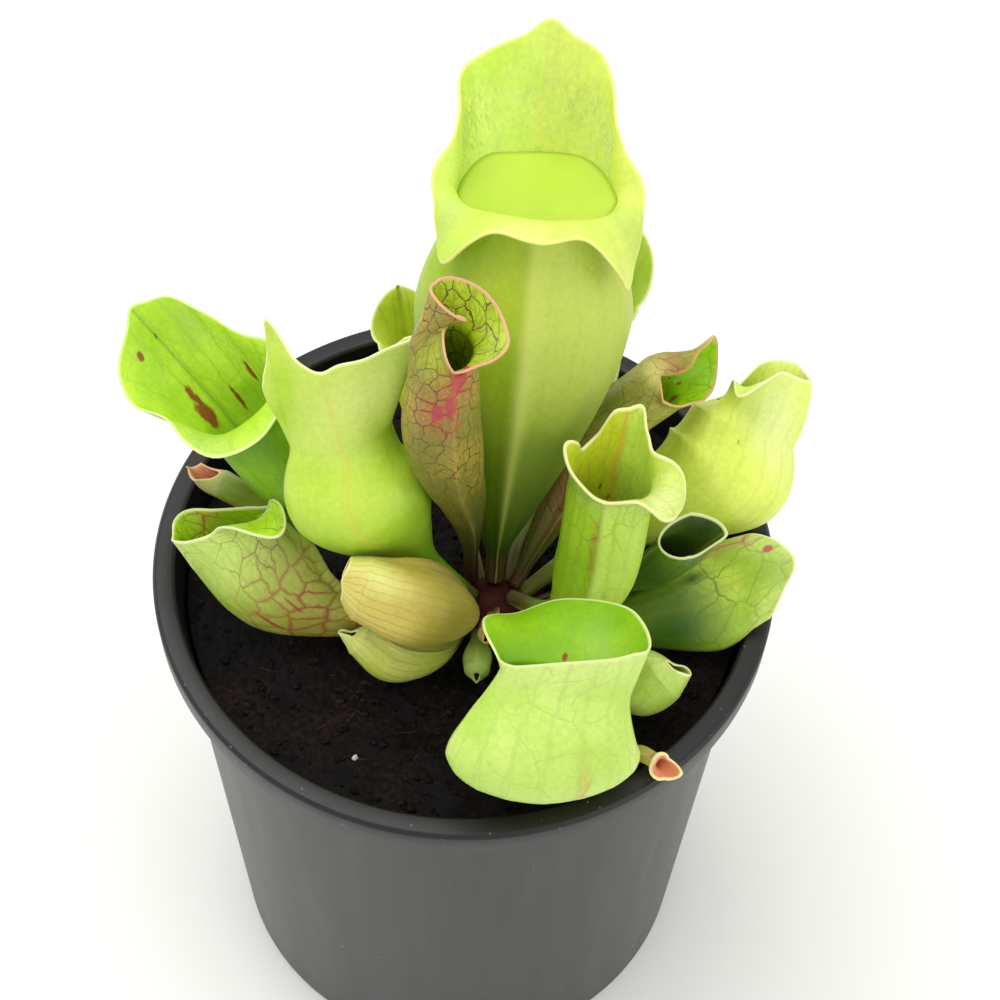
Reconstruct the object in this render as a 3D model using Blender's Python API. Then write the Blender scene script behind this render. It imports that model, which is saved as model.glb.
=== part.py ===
# Southern purple pitcher plant in a round nursery pot.
# Metres, +Z up. The origin is the middle of the pot's underside, which stands on z = 0.
# The plant grows under one empty at the middle of the rim plane, and every length in
# PITCHERS is in millimetres from there: x to the right, y to the back, z up.

from math import cos, pi, sin

import bmesh
import bpy
import numpy as np

MM = 0.001

# Pot
POT_HEIGHT = 135 * MM
RIM_RADIUS = 65 * MM
RIM_BORE = 60.3 * MM  # inner edge of the rim's flat top
SKIRT_DROP = 6.6 * MM  # height of the rim's hanging skirt
SKIRT_WALL = 1.3 * MM
BODY_TOP_RADIUS = 60.4 * MM  # outer radius just under the second ring
BASE_RADIUS = 55 * MM
WALL = 1.3 * MM
FLOOR = 1.6 * MM
RING_OUT = 1.5 * MM  # how far the second ring stands out of the body
DRAIN_HOLES = 8
DRAIN_RADIUS = 4 * MM
DRAIN_CIRCLE = 40 * MM
POT_SIDES = 48

# Soil
SOIL_DROP = 7.9 * MM  # highest lumps of the peat, below the rim
SOIL_RELIEF = 2.2 * MM
SOIL_LUMPS = 70
SOIL_RINGS = 8
SOIL_SIDES = 36
CLEAR = 0.3 * MM  # gap between neighbouring solids

# Crown, from the middle of the rim plane
CROWN_CENTRE = (6 * MM, -9 * MM, -6 * MM)
CROWN_RADII = (6.2 * MM, 6.2 * MM, 6.5 * MM)
CROWN_RIBS = 9
CROWN_RIB_DEPTH = 0.3 * MM

# Pitchers
BLADE = 0.7  # wall of a pitcher, mm
FINE_BLADE = 0.6
SOLID_STALK = 0.4  # share of the tube below which a pitcher is solid
WATER_LEVEL = 79.5  # height of the pool's surface, mm
WATER_GAP = 1.2  # from the pool's edge to the wall that holds it, mm
WATER_BOTTOM = 0.65  # share of the tall tube where the pool begins
EDGE_SAMPLES = 300  # points of the smooth curve through an edge list
BEND_STEPS = 12  # steps in which a lobe's bend is added up

# Every shape starts from these values. Lengths are mm and angles are degrees.
# path: middle line from the crown to the mouth. face: the way the keeled front looks.
# stalk, belly, mouth: radii along the path, the belly at the share "at" of its length.
# oval: depth over width at the mouth. keel: height of the wing down the front.
# back, left, right, lip: how far the hood, its two lobes and the lip run past the mouth.
# _lean: outward angle where each starts. _curl: how much further it bends to its margin.
# edge: where given, it takes the place of these, with rows of degrees off the back (positive
# on the left), length, outward angle at the mouth and further bend to the margin.
PLAIN = dict(
    stalk=1.5, belly=6.0, mouth=6.0, start=0.12, at=0.7, oval=1.0, keel=1.5,
    back=12, left=6, right=6, lip=2, back_lean=0, left_lean=20, right_lean=20, lip_lean=60,
    back_curl=0, left_curl=20, right_curl=20, lip_curl=120,
    edge=(),
)  # fmt: skip

LARGE = (12, 5, 22)  # rows along the tube, rows along the hood, columns around
MEDIUM = (10, 5, 18)
SMALL = (9, 4, 14)
TINY = (8, 3, 12)
BUD = (7, 3, 10)

YELLOW_GREEN = (0.50, 0.66, 0.10)
GREEN = (0.28, 0.50, 0.06)
DARK_GREEN = (0.10, 0.26, 0.04)
TAN = (0.46, 0.32, 0.10)
PALE = (0.58, 0.70, 0.22)

PITCHERS = {
    "pitcher_tall": dict(
        grid=LARGE, colour=YELLOW_GREEN,
        path=[(6.5, -5.5, 0), (7, 2, 14), (9, 14, 47), (11, 28, 79)], face=(0.03, -1, 0.15),
        stalk=2.2, belly=18.4, mouth=13.2, at=0.78, oval=0.74, keel=2.2,
        edge=[
            (-180, 9.5, 55, 70), (-155, 6.5, 55, 80), (-130, 11.5, 115, 55), (-115, 7, 100, 70),
            (-100, 4.5, 35, 110), (-85, 8, 3, 30), (-70, 13, 6, 0), (-50, 20, 17, 0),
            (-33, 23, 18, -4), (-16, 27, 3, 0), (0, 31, 0, 0), (16, 28, 2, 0), (33, 25, 8, 0),
            (50, 20.5, 6, 0),
            (70, 13, 0, 0), (85, 8, 2, 30), (100, 5.5, 35, 110), (115, 9, 100, 70),
            (130, 14, 115, 55), (155, 6.5, 55, 80), (180, 9.5, 55, 70),
        ],
    ),
    "pitcher_left_hood": dict(
        grid=MEDIUM, colour=GREEN,
        path=[(0.5, -5, -5.5), (-15, 2.5, 6), (-34, 4.5, 22), (-45, 9, 37)], face=(0.75, -0.5, 0.6),
        belly=9.2, mouth=9.4,
        edge=[
            (-180, 5, 60, 60), (-150, 7.5, 65, 60), (-120, 8.5, 60, 40), (-90, 10.5, 25, 5),
            (-60, 15.5, 26, 0), (-40, 20, 18, 0), (-20, 24, 4, 0), (0, 27, 0, 0), (20, 25.5, 0, 0),
            (40, 22, 10, 0), (60, 15.5, 8, 0), (90, 9, 2, 10), (120, 6, 30, 10),
            (150, 3.5, 45, 40), (180, 5, 60, 60),
        ],
    ),
    "pitcher_eared": dict(
        grid=MEDIUM, colour=YELLOW_GREEN,
        path=[(2, -9.5, -0.5), (-5.5, -9, 10), (-20.5, -9, 32.6), (-24, -3.6, 45.6)],
        face=(-0.22, 1, 0.1), belly=12.2, mouth=8.3, start=0.34, at=0.66, oval=0.68,
        edge=[
            (-180, 1.5, 15, 40), (-130, 2, 10, 20), (-105, 4, 10, 10), (-88, 9, 12, 5), (-78, 16, 12, 0),
            (-66, 25, 31, 0), (-45, 19.5, 14, 0), (-20, 18, 3, 0), (0, 17, 0, 0), (20, 19.5, -2, 0),
            (45, 23, -7, 0), (66, 28, -4, 0), (78, 20, -2, 0), (88, 13, 6, 5), (105, 6, 10, 10),
            (130, 2.5, 10, 20), (180, 1.5, 15, 40),
        ],
    ),
    "pitcher_veined": dict(
        grid=MEDIUM, colour=TAN,
        path=[(1.6, -5, -1.2), (0.5, -6.5, 23), (-4.2, -10.5, 54), (-4.2, -11, 82)],
        face=(0.33, -0.94, 0.05), belly=7.4, mouth=6, keel=2,
        edge=[
            (-180, 1, 20, 20), (-150, 8, -15, -50), (-120, 11.5, -25, -60), (-90, 12.5, -25, -65),
            (-45, 13, -10, -45), (-20, 12, 0, -15), (0, 11.5, 0, 0), (20, 10, 10, 5), (45, 8.5, 25, 5),
            (70, 7, 40, 10), (90, 6, 55, 10), (110, 5.5, 65, 15), (130, 3, 70, 20),
            (150, 1.5, 50, 20), (180, 1, 20, 20),
        ],
    ),
    "pitcher_rear_left": dict(
        grid=SMALL, colour=GREEN,
        path=[(3.5, -3, -5.5), (-2, 12, 3), (-8.5, 23.5, 21), (-11.5, 28.5, 32)],
        face=(0.6, -0.8, 0.2), mouth=5, back=15, back_curl=-30,
    ),
    "pitcher_rear_right": dict(
        grid=SMALL, colour=GREEN,
        path=[(9, -3, -5.5), (13, 14, 1), (23.5, 30.5, 15), (27, 38, 36)],
        face=(-0.6, -0.8, 0.2), belly=5.5, mouth=4.5, back=18, left=5, right=5,
    ),
    "pitcher_tan": dict(
        grid=SMALL, colour=TAN,
        path=[(2.5, -12.5, -1.5), (0, -18, 6), (-10, -27, 23), (-19, -25.5, 25.5)],
        face=(0.2, 0.9, 0.5), belly=7.9, mouth=6.4, at=0.62,
        edge=[
            (-180, 4, -15, 0), (-130, 4.5, -25, 0), (-90, 6, -40, -10), (-45, 5, -35, -20),
            (0, 4.5, -30, -30), (45, 5, -30, -40), (90, 6, -20, -60), (130, 4.5, -25, 0),
            (180, 4, -15, 0),
        ],
    ),
    "pitcher_crescent": dict(
        grid=TINY, colour=YELLOW_GREEN,
        path=[(1, -13.5, -5.5), (-4.2, -22.5, -3), (-13.5, -25.5, -1.5), (-20.5, -23, 2.5)],
        face=(0.9, 0, 0.9), stalk=1.4, belly=4.4, mouth=3.4, back=4.5, left=3.5, right=3.5, lip=2.5,
        back_lean=-25, left_lean=-45, right_lean=-45, lip_lean=-50, left_curl=-20, right_curl=-20,
        lip_curl=-20,
    ),
    "pitcher_left_low": dict(
        grid=MEDIUM, colour=GREEN,
        path=[
            (-0.5, -10.5, -5.5), (-14, -15, -3), (-30, -15.8, 2.5), (-39.5, -13.2, 9),
            (-46.5, -9.4, 16.6),
        ],
        face=(1, 0.1, 0.2), belly=8, mouth=7.2, oval=2.2,
        edge=[
            (-180, 1, 10, 20), (-160, 7, 40, 90), (-140, 10, 40, 120), (-115, 8, 10, 70), (-90, 5, 0, 10),
            (-60, 6, 0, 0), (-30, 7.3, -5, 0), (0, 7.5, -10, 0), (30, 9.5, -15, 0), (60, 9, 0, 0),
            (90, 5.5, -5, 0), (120, 2.5, -5, 0), (150, 1, -10, 0), (180, 1, 10, 20),
        ],
    ),
    "pitcher_slim": dict(
        grid=TINY, colour=YELLOW_GREEN,
        path=[(-0.6, -7.5, -4.2), (-12.5, -4.2, 0.4), (-34.5, 2, 6), (-51, 8.2, 10.5)],
        face=(0.9, 0, 0.9), stalk=1.4, belly=2.6, mouth=3, back=9, left=6, right=5, lip=1.5,
        back_lean=20, back_curl=-80, left_lean=-10, right_lean=-15, lip_lean=-20, lip_curl=-20,
    ),
    "pitcher_rolled": dict(
        grid=MEDIUM, colour=YELLOW_GREEN,
        path=[(10, -9.5, -0.5), (20, -16.5, 6), (26, -14.5, 18), (28, -9.5, 42)],
        face=(-0.15, -1, 0.2), stalk=1.6, belly=7.8, mouth=7.6, oval=0.85,
        edge=[
            (-180, 1.5, 30, 30), (-150, 4, 15, 30), (-120, 6, 12, 20), (-100, 8.5, 10, 10),
            (-80, 7, 0, 0), (-60, 3.5, 0, 0), (-35, 6, 0, 0), (-18, 11.5, 0, 0), (0, 12.5, 2, 0),
            (18, 13, 8, 0), (35, 8.5, 4, 0), (60, 6, -4, 10), (80, 6.5, 10, 110), (105, 7.5, 20, 150),
            (130, 7, 20, 130), (150, 4, 15, 40), (180, 1.5, 30, 30),
        ],
    ),
    "pitcher_right_large": dict(
        grid=MEDIUM, colour=YELLOW_GREEN,
        path=[(12, -6, -5), (31.5, 5.5, 4), (51.3, 12, 13.2), (56.3, 20.5, 22)],
        face=(-1, -0.1, 0.1), stalk=1.6, belly=12, mouth=9.5, at=0.75, oval=1.5,
        edge=[
            (-180, 5, -60, 0), (-140, 4, -50, 0), (-115, 6.5, -25, 0), (-90, 13, -5, 0),
            (-60, 15.5, -4, 0), (-30, 15.5, 3, -28), (0, 15.5, 3, -34), (30, 14.5, 4, -28),
            (60, 14, -3, -12), (88, 14, -15, 30), (105, 15, -25, 110), (120, 14, -35, 170),
            (140, 7, -50, 60), (160, 5, -60, 0), (180, 5, -60, 0),
        ],
    ),
    "pitcher_right_small": dict(
        grid=SMALL, colour=DARK_GREEN,
        path=[(12.5, -9, -5.3), (26.8, -6.7, 1.1), (37.8, -9.6, 12.3), (42.8, -10.6, 21.9)],
        face=(-0.8, -0.3, 0.6), stalk=1.4, belly=4.2, mouth=4.6, oval=1.5, back=8.5, left=2.5,
        right=6, lip=1.5, lip_lean=10, lip_curl=20, left_lean=-10, left_curl=-10, right_lean=5,
    ),
    "pitcher_right_broad": dict(
        grid=MEDIUM, colour=GREEN,
        path=[(12, -12, -5.5), (28, -13, -3.6), (46, -11.3, 1.8), (56, -8.9, 7.2)],
        face=(0, 0.57, -0.82), belly=7, mouth=5.2, at=0.72, oval=0.3,
        edge=[
            (-180, 3, -25, 0), (-140, 2.8, -25, 0), (-110, 2.6, -12, 0), (-90, 2.8, -10, 0),
            (-60, 4.6, -8, 0), (-30, 8.6, -8, 0), (0, 13, 0, 0), (30, 11.5, -5, 0), (60, 8.2, -6, 0),
            (90, 5.4, -8, 0), (110, 4, -10, 0), (140, 3.2, -25, 0), (180, 3, -25, 0),
        ],
    ),
    "pitcher_right_low": dict(
        grid=TINY, colour=GREEN,
        path=[(10, -14.5, -5.5), (26, -24.5, -3), (36, -30.5, 0), (41, -28.5, 3.5)],
        face=(-1, -0.1, 0.5), stalk=1.4, belly=5.6, mouth=5.6, oval=1.2, back=4.5, left=5, right=5,
        lip=4.5, back_lean=-15, left_lean=-45, right_lean=-45, lip_lean=-45, back_curl=-20,
        left_curl=-25, right_curl=-25, lip_curl=-25,
    ),
    "pitcher_front": dict(
        grid=MEDIUM, colour=PALE,
        path=[(7, -15.5, -5.5), (14, -33.5, 1), (17, -53, 13.5), (20.5, -45, 27)],
        face=(-1, -0.1, 0), stalk=1.6, belly=13.4, mouth=8.4, oval=2.3, keel=0.2, at=0.66,
        edge=[
            (-180, 2, 30, 0), (-150, 10, 45, 40), (-120, 12, 50, 40), (-90, 15, 52, 15),
            (-60, 15, 40, 15), (-30, 12, 15, 10), (0, 10, 5, 0), (30, 9.5, -5, 0), (60, 9, 0, 0),
            (90, 7.5, 0, 0), (120, 5, 0, 0), (150, 2.5, 0, 0), (180, 2, 30, 0),
        ],
    ),
    "pitcher_spotted": dict(
        grid=SMALL, colour=GREEN,
        path=[(10.5, -6, -1.5), (16, 2, 7), (26.5, 15.4, 23), (37.8, 19.5, 35.4)],
        face=(0.1, -0.9, 0.5),
        edge=[
            (-180, 1.5, 30, 60), (-150, 3, 10, -60), (-120, 6, 5, -130), (-90, 9, 10, -140),
            (-60, 11.5, 5, -100), (-30, 12.5, -5, -50), (0, 15, -15, -10), (20, 13.5, 5, -10),
            (45, 10, 28, 10), (70, 7, 36, 10), (90, 5, 38, 0), (130, 3, 20, 0), (180, 1.5, 30, 60),
        ],
    ),
    "seedling_at_rim": dict(
        grid=BUD, colour=YELLOW_GREEN,
        path=[(34.5, -42, -12), (35, -43, -5), (36.5, -46, 2), (40, -49, 4)],
        face=(-1, 0, 0.8), stalk=1.2, belly=1.5, mouth=1.5, back=5, left=3, right=1.6, lip=0.8,
        left_lean=5, right_lean=0,
    ),
    "bud_green": dict(
        grid=BUD, colour=DARK_GREEN,
        path=[(3.2, -15.5, -5.5), (3.6, -20.5, -4), (3.6, -26, -3)],
        face=(0, 1, 1), stalk=1.4, belly=3, mouth=2.6, back=3, left=2.5, right=2.5, lip=2,
        back_lean=-30, left_lean=-45, right_lean=-45, lip_lean=-45, left_curl=-10, right_curl=-10,
        lip_curl=-10,
    ),
    "bud_yellow": dict(
        grid=BUD, colour=TAN,
        path=[(6, -13.5, -1), (6.5, -17.5, 2), (5.5, -22, 4.5)],
        face=(0.5, 1, 1), stalk=1.3, belly=2.5, mouth=2, back=2, left=1.8, right=1.8, lip=1.2,
        back_lean=-30, left_lean=-45, right_lean=-45, lip_lean=-45, left_curl=-10, right_curl=-10,
        lip_curl=-10,
    ),
}  # fmt: skip


def clear_scene():
    for obj in list(bpy.data.objects):
        bpy.data.objects.remove(obj)


def material(name, colour, roughness, metallic=0.0):
    made = bpy.data.materials.new(name)
    made.use_nodes = True
    shader = made.node_tree.nodes["Principled BSDF"]
    shader.inputs["Base Color"].default_value = (*colour, 1.0)
    shader.inputs["Roughness"].default_value = roughness
    shader.inputs["Metallic"].default_value = metallic
    return made


def finish(bm, name, colour, roughness, parent=None):
    """Turns a closed bmesh into a named, smooth object with its own material."""
    bmesh.ops.recalc_face_normals(bm, faces=bm.faces)
    mesh = bpy.data.meshes.new(name)
    bm.to_mesh(mesh)
    bm.free()
    mesh.shade_smooth()
    mesh.set_sharp_from_angle(angle=0.7)
    mesh.materials.append(material(name, colour, roughness))
    obj = bpy.data.objects.new(name, mesh)
    bpy.context.collection.objects.link(obj)
    obj.parent = parent
    return obj


def cutter(bm, name):
    """A helper solid for a Boolean, which isn't a piece of the object."""
    bmesh.ops.recalc_face_normals(bm, faces=bm.faces)
    mesh = bpy.data.meshes.new(name)
    bm.to_mesh(mesh)
    bm.free()
    obj = bpy.data.objects.new(name, mesh)
    obj.hide_render = True
    obj.display_type = "WIRE"
    return obj


def cut(obj, cutters, name):
    group = bpy.data.collections.new(name)
    bpy.context.scene.collection.children.link(group)
    for helper in cutters:
        group.objects.link(helper)
    holes = obj.modifiers.new(name, "BOOLEAN")
    holes.operand_type = "COLLECTION"
    holes.collection = group


def turned(profile, sides):
    """A closed solid turned about z from a profile that starts and ends on the axis."""
    bm = bmesh.new()
    points = [bm.verts.new((radius, 0, height)) for radius, height in profile]
    edges = [bm.edges.new(pair) for pair in zip(points, points[1:])]
    bmesh.ops.spin(
        bm, geom=points + edges, cent=(0, 0, 0), axis=(0, 0, 1), angle=2 * pi, steps=sides
    )
    bmesh.ops.remove_doubles(bm, verts=bm.verts, dist=1e-6)
    return bm


def body_radius(height, top, base):
    """Radius of the tapering wall at a height, between its base and the second ring."""
    return base + (top - base) * height / (POT_HEIGHT - SKIRT_DROP)


def build_pot():
    rim = POT_HEIGHT
    skirt = rim - SKIRT_DROP
    neck = BODY_TOP_RADIUS + 1.2 * MM
    ring_top = skirt - 1.8 * MM
    ring_low = ring_top - 2.4 * MM
    profile = [
        (0, 0),
        (BASE_RADIUS - 1.4 * MM, 0),
        (BASE_RADIUS, 1.2 * MM),
        (BODY_TOP_RADIUS, ring_low - 0.6 * MM),
        (BODY_TOP_RADIUS + RING_OUT, ring_low),
        (BODY_TOP_RADIUS + RING_OUT, ring_top),
        (neck, ring_top + 0.6 * MM),
        (neck, rim - SKIRT_WALL),
        (RIM_RADIUS - SKIRT_WALL, rim - SKIRT_WALL),
        (RIM_RADIUS - SKIRT_WALL + 0.2 * MM, skirt),
        (RIM_RADIUS - 0.1 * MM, skirt),
        (RIM_RADIUS, rim - 0.8 * MM),
        (RIM_RADIUS - 0.7 * MM, rim),
        (RIM_BORE + 0.6 * MM, rim),
        (RIM_BORE, rim - 0.6 * MM),
        (BODY_TOP_RADIUS - WALL, ring_low - 0.6 * MM),
        (BASE_RADIUS - WALL, FLOOR),
        (0, FLOOR),
    ]
    pot = finish(turned(profile, POT_SIDES), "pot", (0.065, 0.06, 0.065), 0.45)
    drains = []
    for index in range(DRAIN_HOLES):
        angle = 2 * pi * (index + 0.5) / DRAIN_HOLES
        bm = bmesh.new()
        bmesh.ops.create_cone(
            bm, cap_ends=True, segments=12, radius1=DRAIN_RADIUS, radius2=DRAIN_RADIUS, depth=6 * MM
        )
        drain = cutter(bm, f"drain_{index}")
        drain.location = (DRAIN_CIRCLE * cos(angle), DRAIN_CIRCLE * sin(angle), FLOOR / 2)
        drains.append(drain)
    cut(pot, drains, "drain_holes")


def soil_height(x, y, lumps):
    """Top of the peat: a slightly sunk bed with seeded lumps that never pass SOIL_DROP."""
    level = -SOIL_RELIEF
    for lump_x, lump_y, size, rise in lumps:
        level += rise * np.exp(-((x - lump_x) ** 2 + (y - lump_y) ** 2) / (2 * size**2))
    return POT_HEIGHT - SOIL_DROP + min(level, 0.0)


def build_soil():
    random = np.random.default_rng(11)
    spots = random.uniform(-1, 1, (SOIL_LUMPS, 2)) * RIM_BORE
    sizes = random.uniform(2.5, 6, SOIL_LUMPS) * MM
    rises = random.uniform(0.4, 1.8, SOIL_LUMPS) * MM
    lumps = [(x, y, size, rise) for (x, y), size, rise in zip(spots, sizes, rises)]
    low = FLOOR + CLEAR
    wall_top = POT_HEIGHT - SOIL_DROP - SOIL_RELIEF
    inner_top, inner_base = BODY_TOP_RADIUS - WALL - CLEAR, BASE_RADIUS - WALL - CLEAR
    top_radius = body_radius(wall_top, inner_top, inner_base)
    bm = bmesh.new()
    middle = bm.verts.new((0, 0, soil_height(0, 0, lumps)))
    rings = []
    for ring in range(1, SOIL_RINGS + 1):
        radius = top_radius * ring / SOIL_RINGS
        points = []
        for side in range(SOIL_SIDES):
            angle = 2 * pi * side / SOIL_SIDES
            x, y = radius * cos(angle), radius * sin(angle)
            height = wall_top if ring == SOIL_RINGS else soil_height(x, y, lumps)
            points.append(bm.verts.new((x, y, height)))
        rings.append(points)
    base = []
    for side in range(SOIL_SIDES):
        angle = 2 * pi * side / SOIL_SIDES
        base.append(bm.verts.new((inner_base * cos(angle), inner_base * sin(angle), low)))
    rings.append(base)
    under = bm.verts.new((0, 0, low))
    for side in range(SOIL_SIDES):
        after = (side + 1) % SOIL_SIDES
        bm.faces.new((middle, rings[0][side], rings[0][after]))
        bm.faces.new((under, base[after], base[side]))
        for near, far in zip(rings, rings[1:]):
            bm.faces.new((near[side], far[side], far[after]))
            bm.faces.new((near[side], far[after], near[after]))
    soil = finish(bm, "soil", (0.012, 0.008, 0.006), 0.95)
    pit = cutter(ellipsoid([radius + CLEAR for radius in CROWN_RADII], 12, 8), "crown_pit")
    pit.location = (CROWN_CENTRE[0], CROWN_CENTRE[1], POT_HEIGHT + CROWN_CENTRE[2])
    root = PITCHERS["seedling_at_rim"]["path"]
    bm = bmesh.new()
    hole_radius = (PITCHERS["seedling_at_rim"]["stalk"] + 1.1) * MM
    bmesh.ops.create_cone(
        bm, cap_ends=True, segments=10, radius1=hole_radius, radius2=hole_radius, depth=12 * MM
    )
    hole = cutter(bm, "seedling_hole")
    hole.location = (
        (root[0][0] * 0.7 + root[1][0] * 0.3) * MM,
        (root[0][1] * 0.7 + root[1][1] * 0.3) * MM,
        POT_HEIGHT - 7 * MM,
    )
    cut(soil, [pit, hole], "planting_holes")


def ellipsoid(radii, sides, rings):
    bm = bmesh.new()
    bmesh.ops.create_uvsphere(bm, u_segments=sides, v_segments=rings, radius=1.0)
    for vert in bm.verts:
        vert.co = (vert.co.x * radii[0], vert.co.y * radii[1], vert.co.z * radii[2])
    return bm


def build_crown(plant):
    """The growing point, ribbed by the leaf bases that wrap it."""
    bm = ellipsoid([radius - CROWN_RIB_DEPTH for radius in CROWN_RADII], 18, 9)
    for vert in bm.verts:
        angle = np.arctan2(vert.co.y, vert.co.x)
        swell = CROWN_RIB_DEPTH * cos(CROWN_RIBS * angle)
        reach = max(np.hypot(vert.co.x, vert.co.y), 1e-6)
        vert.co.x *= 1 + swell / CROWN_RADII[0] * min(reach / CROWN_RADII[0], 1.0)
        vert.co.y *= 1 + swell / CROWN_RADII[1] * min(reach / CROWN_RADII[1], 1.0)
    crown = finish(bm, "crown", (0.09, 0.02, 0.02), 0.6, plant)
    crown.location = CROWN_CENTRE


def ease(share):
    share = np.clip(share, 0.0, 1.0)
    return share * share * (3 - 2 * share)


def unit(vectors):
    return vectors / np.maximum(np.linalg.norm(vectors, axis=-1, keepdims=True), 1e-9)


def along(path, shares):
    """Places and directions on a smooth curve through the path's points."""
    points = np.asarray(path, float)
    points = np.vstack([2 * points[0] - points[1], points, 2 * points[-1] - points[-2]])
    spans = len(points) - 3
    place = np.clip(shares, 0, 1) * spans
    index = np.minimum(place.astype(int), spans - 1)
    f = (place - index)[:, None]
    a, b, c, d = (points[index + k] for k in range(4))
    linear, square, cube = c - a, 2 * a - 5 * b + 4 * c - d, 3 * b - a - 3 * c + d
    spot = 0.5 * (2 * b + linear * f + square * f**2 + cube * f**3)
    return spot, unit(0.5 * (linear + 2 * square * f + 3 * cube * f**2))


def tube(shape, rows, columns):
    """The tube's cross sections, its wing, and the frame at its mouth."""
    share = np.linspace(0, 1, rows)
    centre, _ = along(shape["path"], share)
    # Sections turn evenly through a bend, so that they don't cross on its inner side.
    reach = 0.9 * np.minimum(share, 1 - share)
    ahead = np.mean([along(shape["path"], share + reach * k)[1] for k in np.linspace(-1, 1, 9)], axis=0)
    ahead = unit(ahead)
    facing = unit(np.asarray(shape["face"], float))
    front = unit(facing - (ahead @ facing)[:, None] * ahead)
    side = np.cross(ahead, front)
    rising = ease((share - shape["start"]) / (shape["at"] - shape["start"]))
    closing = ease((share - shape["at"]) / (1 - shape["at"]))
    lower = shape["stalk"] + (shape["belly"] - shape["stalk"]) * rising
    upper = shape["belly"] + (shape["mouth"] - shape["belly"]) * closing
    radius = np.where(share < shape["at"], lower, upper)
    stretch = np.sqrt(1 + (shape["oval"] - 1) * ease(share))
    angle = np.arange(columns) / columns * 2 * pi
    depth = (radius * stretch)[:, None] * np.cos(angle)
    width = (radius / stretch)[:, None] * np.sin(angle)
    body = centre[:, None] + depth[..., None] * front[:, None] + width[..., None] * side[:, None]
    wing = shape["keel"] * np.sin(pi * share) ** 0.8
    ridge = np.exp(-((np.minimum(angle, 2 * pi - angle) / 0.16) ** 2))
    winged = body + (wing[:, None] * ridge)[..., None] * front[:, None]
    return body, winged, angle, (ahead[-1], front[-1], side[-1])


def margin(shape, angle):
    """Length of the hood, lobes and lip, the angle where they start, and their bend."""
    if shape["edge"]:
        spots, _ = along(shape["edge"], np.linspace(0, 1, EDGE_SAMPLES))
        off = np.degrees(pi - angle)
        length, lean, curl = (np.interp(off, spots[:, 0], spots[:, k]) for k in (1, 2, 3))
        return length, np.radians(lean), np.radians(curl)
    off_back = np.abs(angle - pi)
    tall = np.where(off_back < pi / 2, np.cos(off_back) ** 2, 0.0)
    low = np.where(off_back > pi / 2, np.abs(np.cos(off_back)) ** 0.9, 0.0)
    flank = 1 - tall - low
    leftness = 0.5 + 0.5 * np.clip(np.sin(angle) * 3, -1, 1)

    def blend(kind):
        lobes = shape["left" + kind] * leftness + shape["right" + kind] * (1 - leftness)
        return shape["back" + kind] * tall + lobes * flank + shape["lip" + kind] * low

    return blend(""), np.radians(blend("_lean")), np.radians(blend("_curl"))


def hood(shape, mouth, angle, frame, rows):
    """Rows of the hood, lobes and lip, each column bending in its own upright plane."""
    ahead, front, side = frame
    length, lean, curl = margin(shape, angle)
    stretch = np.sqrt(shape["oval"])
    outward = np.cos(angle)[:, None] / stretch * front + np.sin(angle)[:, None] * stretch * side
    outward = unit(outward)
    made = []
    for reach in np.linspace(0, 1, rows + 1)[1:]:
        steps = (np.arange(BEND_STEPS) + 0.5) / BEND_STEPS * reach
        bend = lean + curl * steps[:, None]
        rise = (length * reach * np.cos(bend).mean(0))[:, None] * ahead
        spread = (length * reach * np.sin(bend).mean(0))[:, None] * outward
        made.append(mouth + rise + spread)
    return np.array(made)


def pitcher_faces(shape):
    """Outer sheet with its wing, and the plain sheet that its inner face follows."""
    rows, hood_rows, columns = shape["grid"]
    body, winged, angle, frame = tube(shape, rows, columns)
    top = hood(shape, body[-1], angle, frame, hood_rows)
    return np.concatenate([winged, top]), np.concatenate([body, top])


def inset(sheet, depth):
    """The sheet moved inward by depth, along its own normals."""
    around = np.roll(sheet, -1, 1) - np.roll(sheet, 1, 1)
    upward = np.gradient(sheet, axis=0)
    normal = unit(np.cross(around, upward))
    out = sheet - sheet.mean(1, keepdims=True)
    tube_rows = slice(2, len(sheet) // 2)
    if (out[tube_rows] * normal[tube_rows]).sum() < 0:
        normal = -normal
    return sheet - depth * normal


def skin(bm, sheet):
    """Triangles over a grid that closes on itself sideways. Gives back its points."""
    points = [[bm.verts.new(spot * MM) for spot in row] for row in sheet]
    columns = len(points[0])
    for low, high in zip(points, points[1:]):
        for column in range(columns):
            after = (column + 1) % columns
            bm.faces.new((low[column], low[after], high[after]))
            bm.faces.new((low[column], high[after], high[column]))
    return points


def fan(bm, row):
    middle = bm.verts.new(sum((vert.co for vert in row), row[0].co * 0) / len(row))
    for first, second in zip(row, row[1:] + row[:1]):
        bm.faces.new((middle, first, second))


def build_pitcher(name, shape, plant):
    """A leaf rolled into a trumpet: solid stalk, thin open tube, then hood and lip."""
    rows = shape["grid"][0]
    blade = FINE_BLADE if shape["grid"] in (TINY, BUD) else BLADE
    outer, plain = pitcher_faces(shape)
    first = int(np.ceil(SOLID_STALK * (rows - 1)))
    bm = bmesh.new()
    outside = skin(bm, outer)
    inside = skin(bm, inset(plain, blade)[first:])
    columns = len(outer[0])
    for column in range(columns):
        after = (column + 1) % columns
        bm.faces.new((outside[-1][column], outside[-1][after], inside[-1][after]))
        bm.faces.new((outside[-1][column], inside[-1][after], inside[-1][column]))
    fan(bm, outside[0])
    fan(bm, inside[0])
    finish(bm, name, shape["colour"], 0.4, plant)


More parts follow.
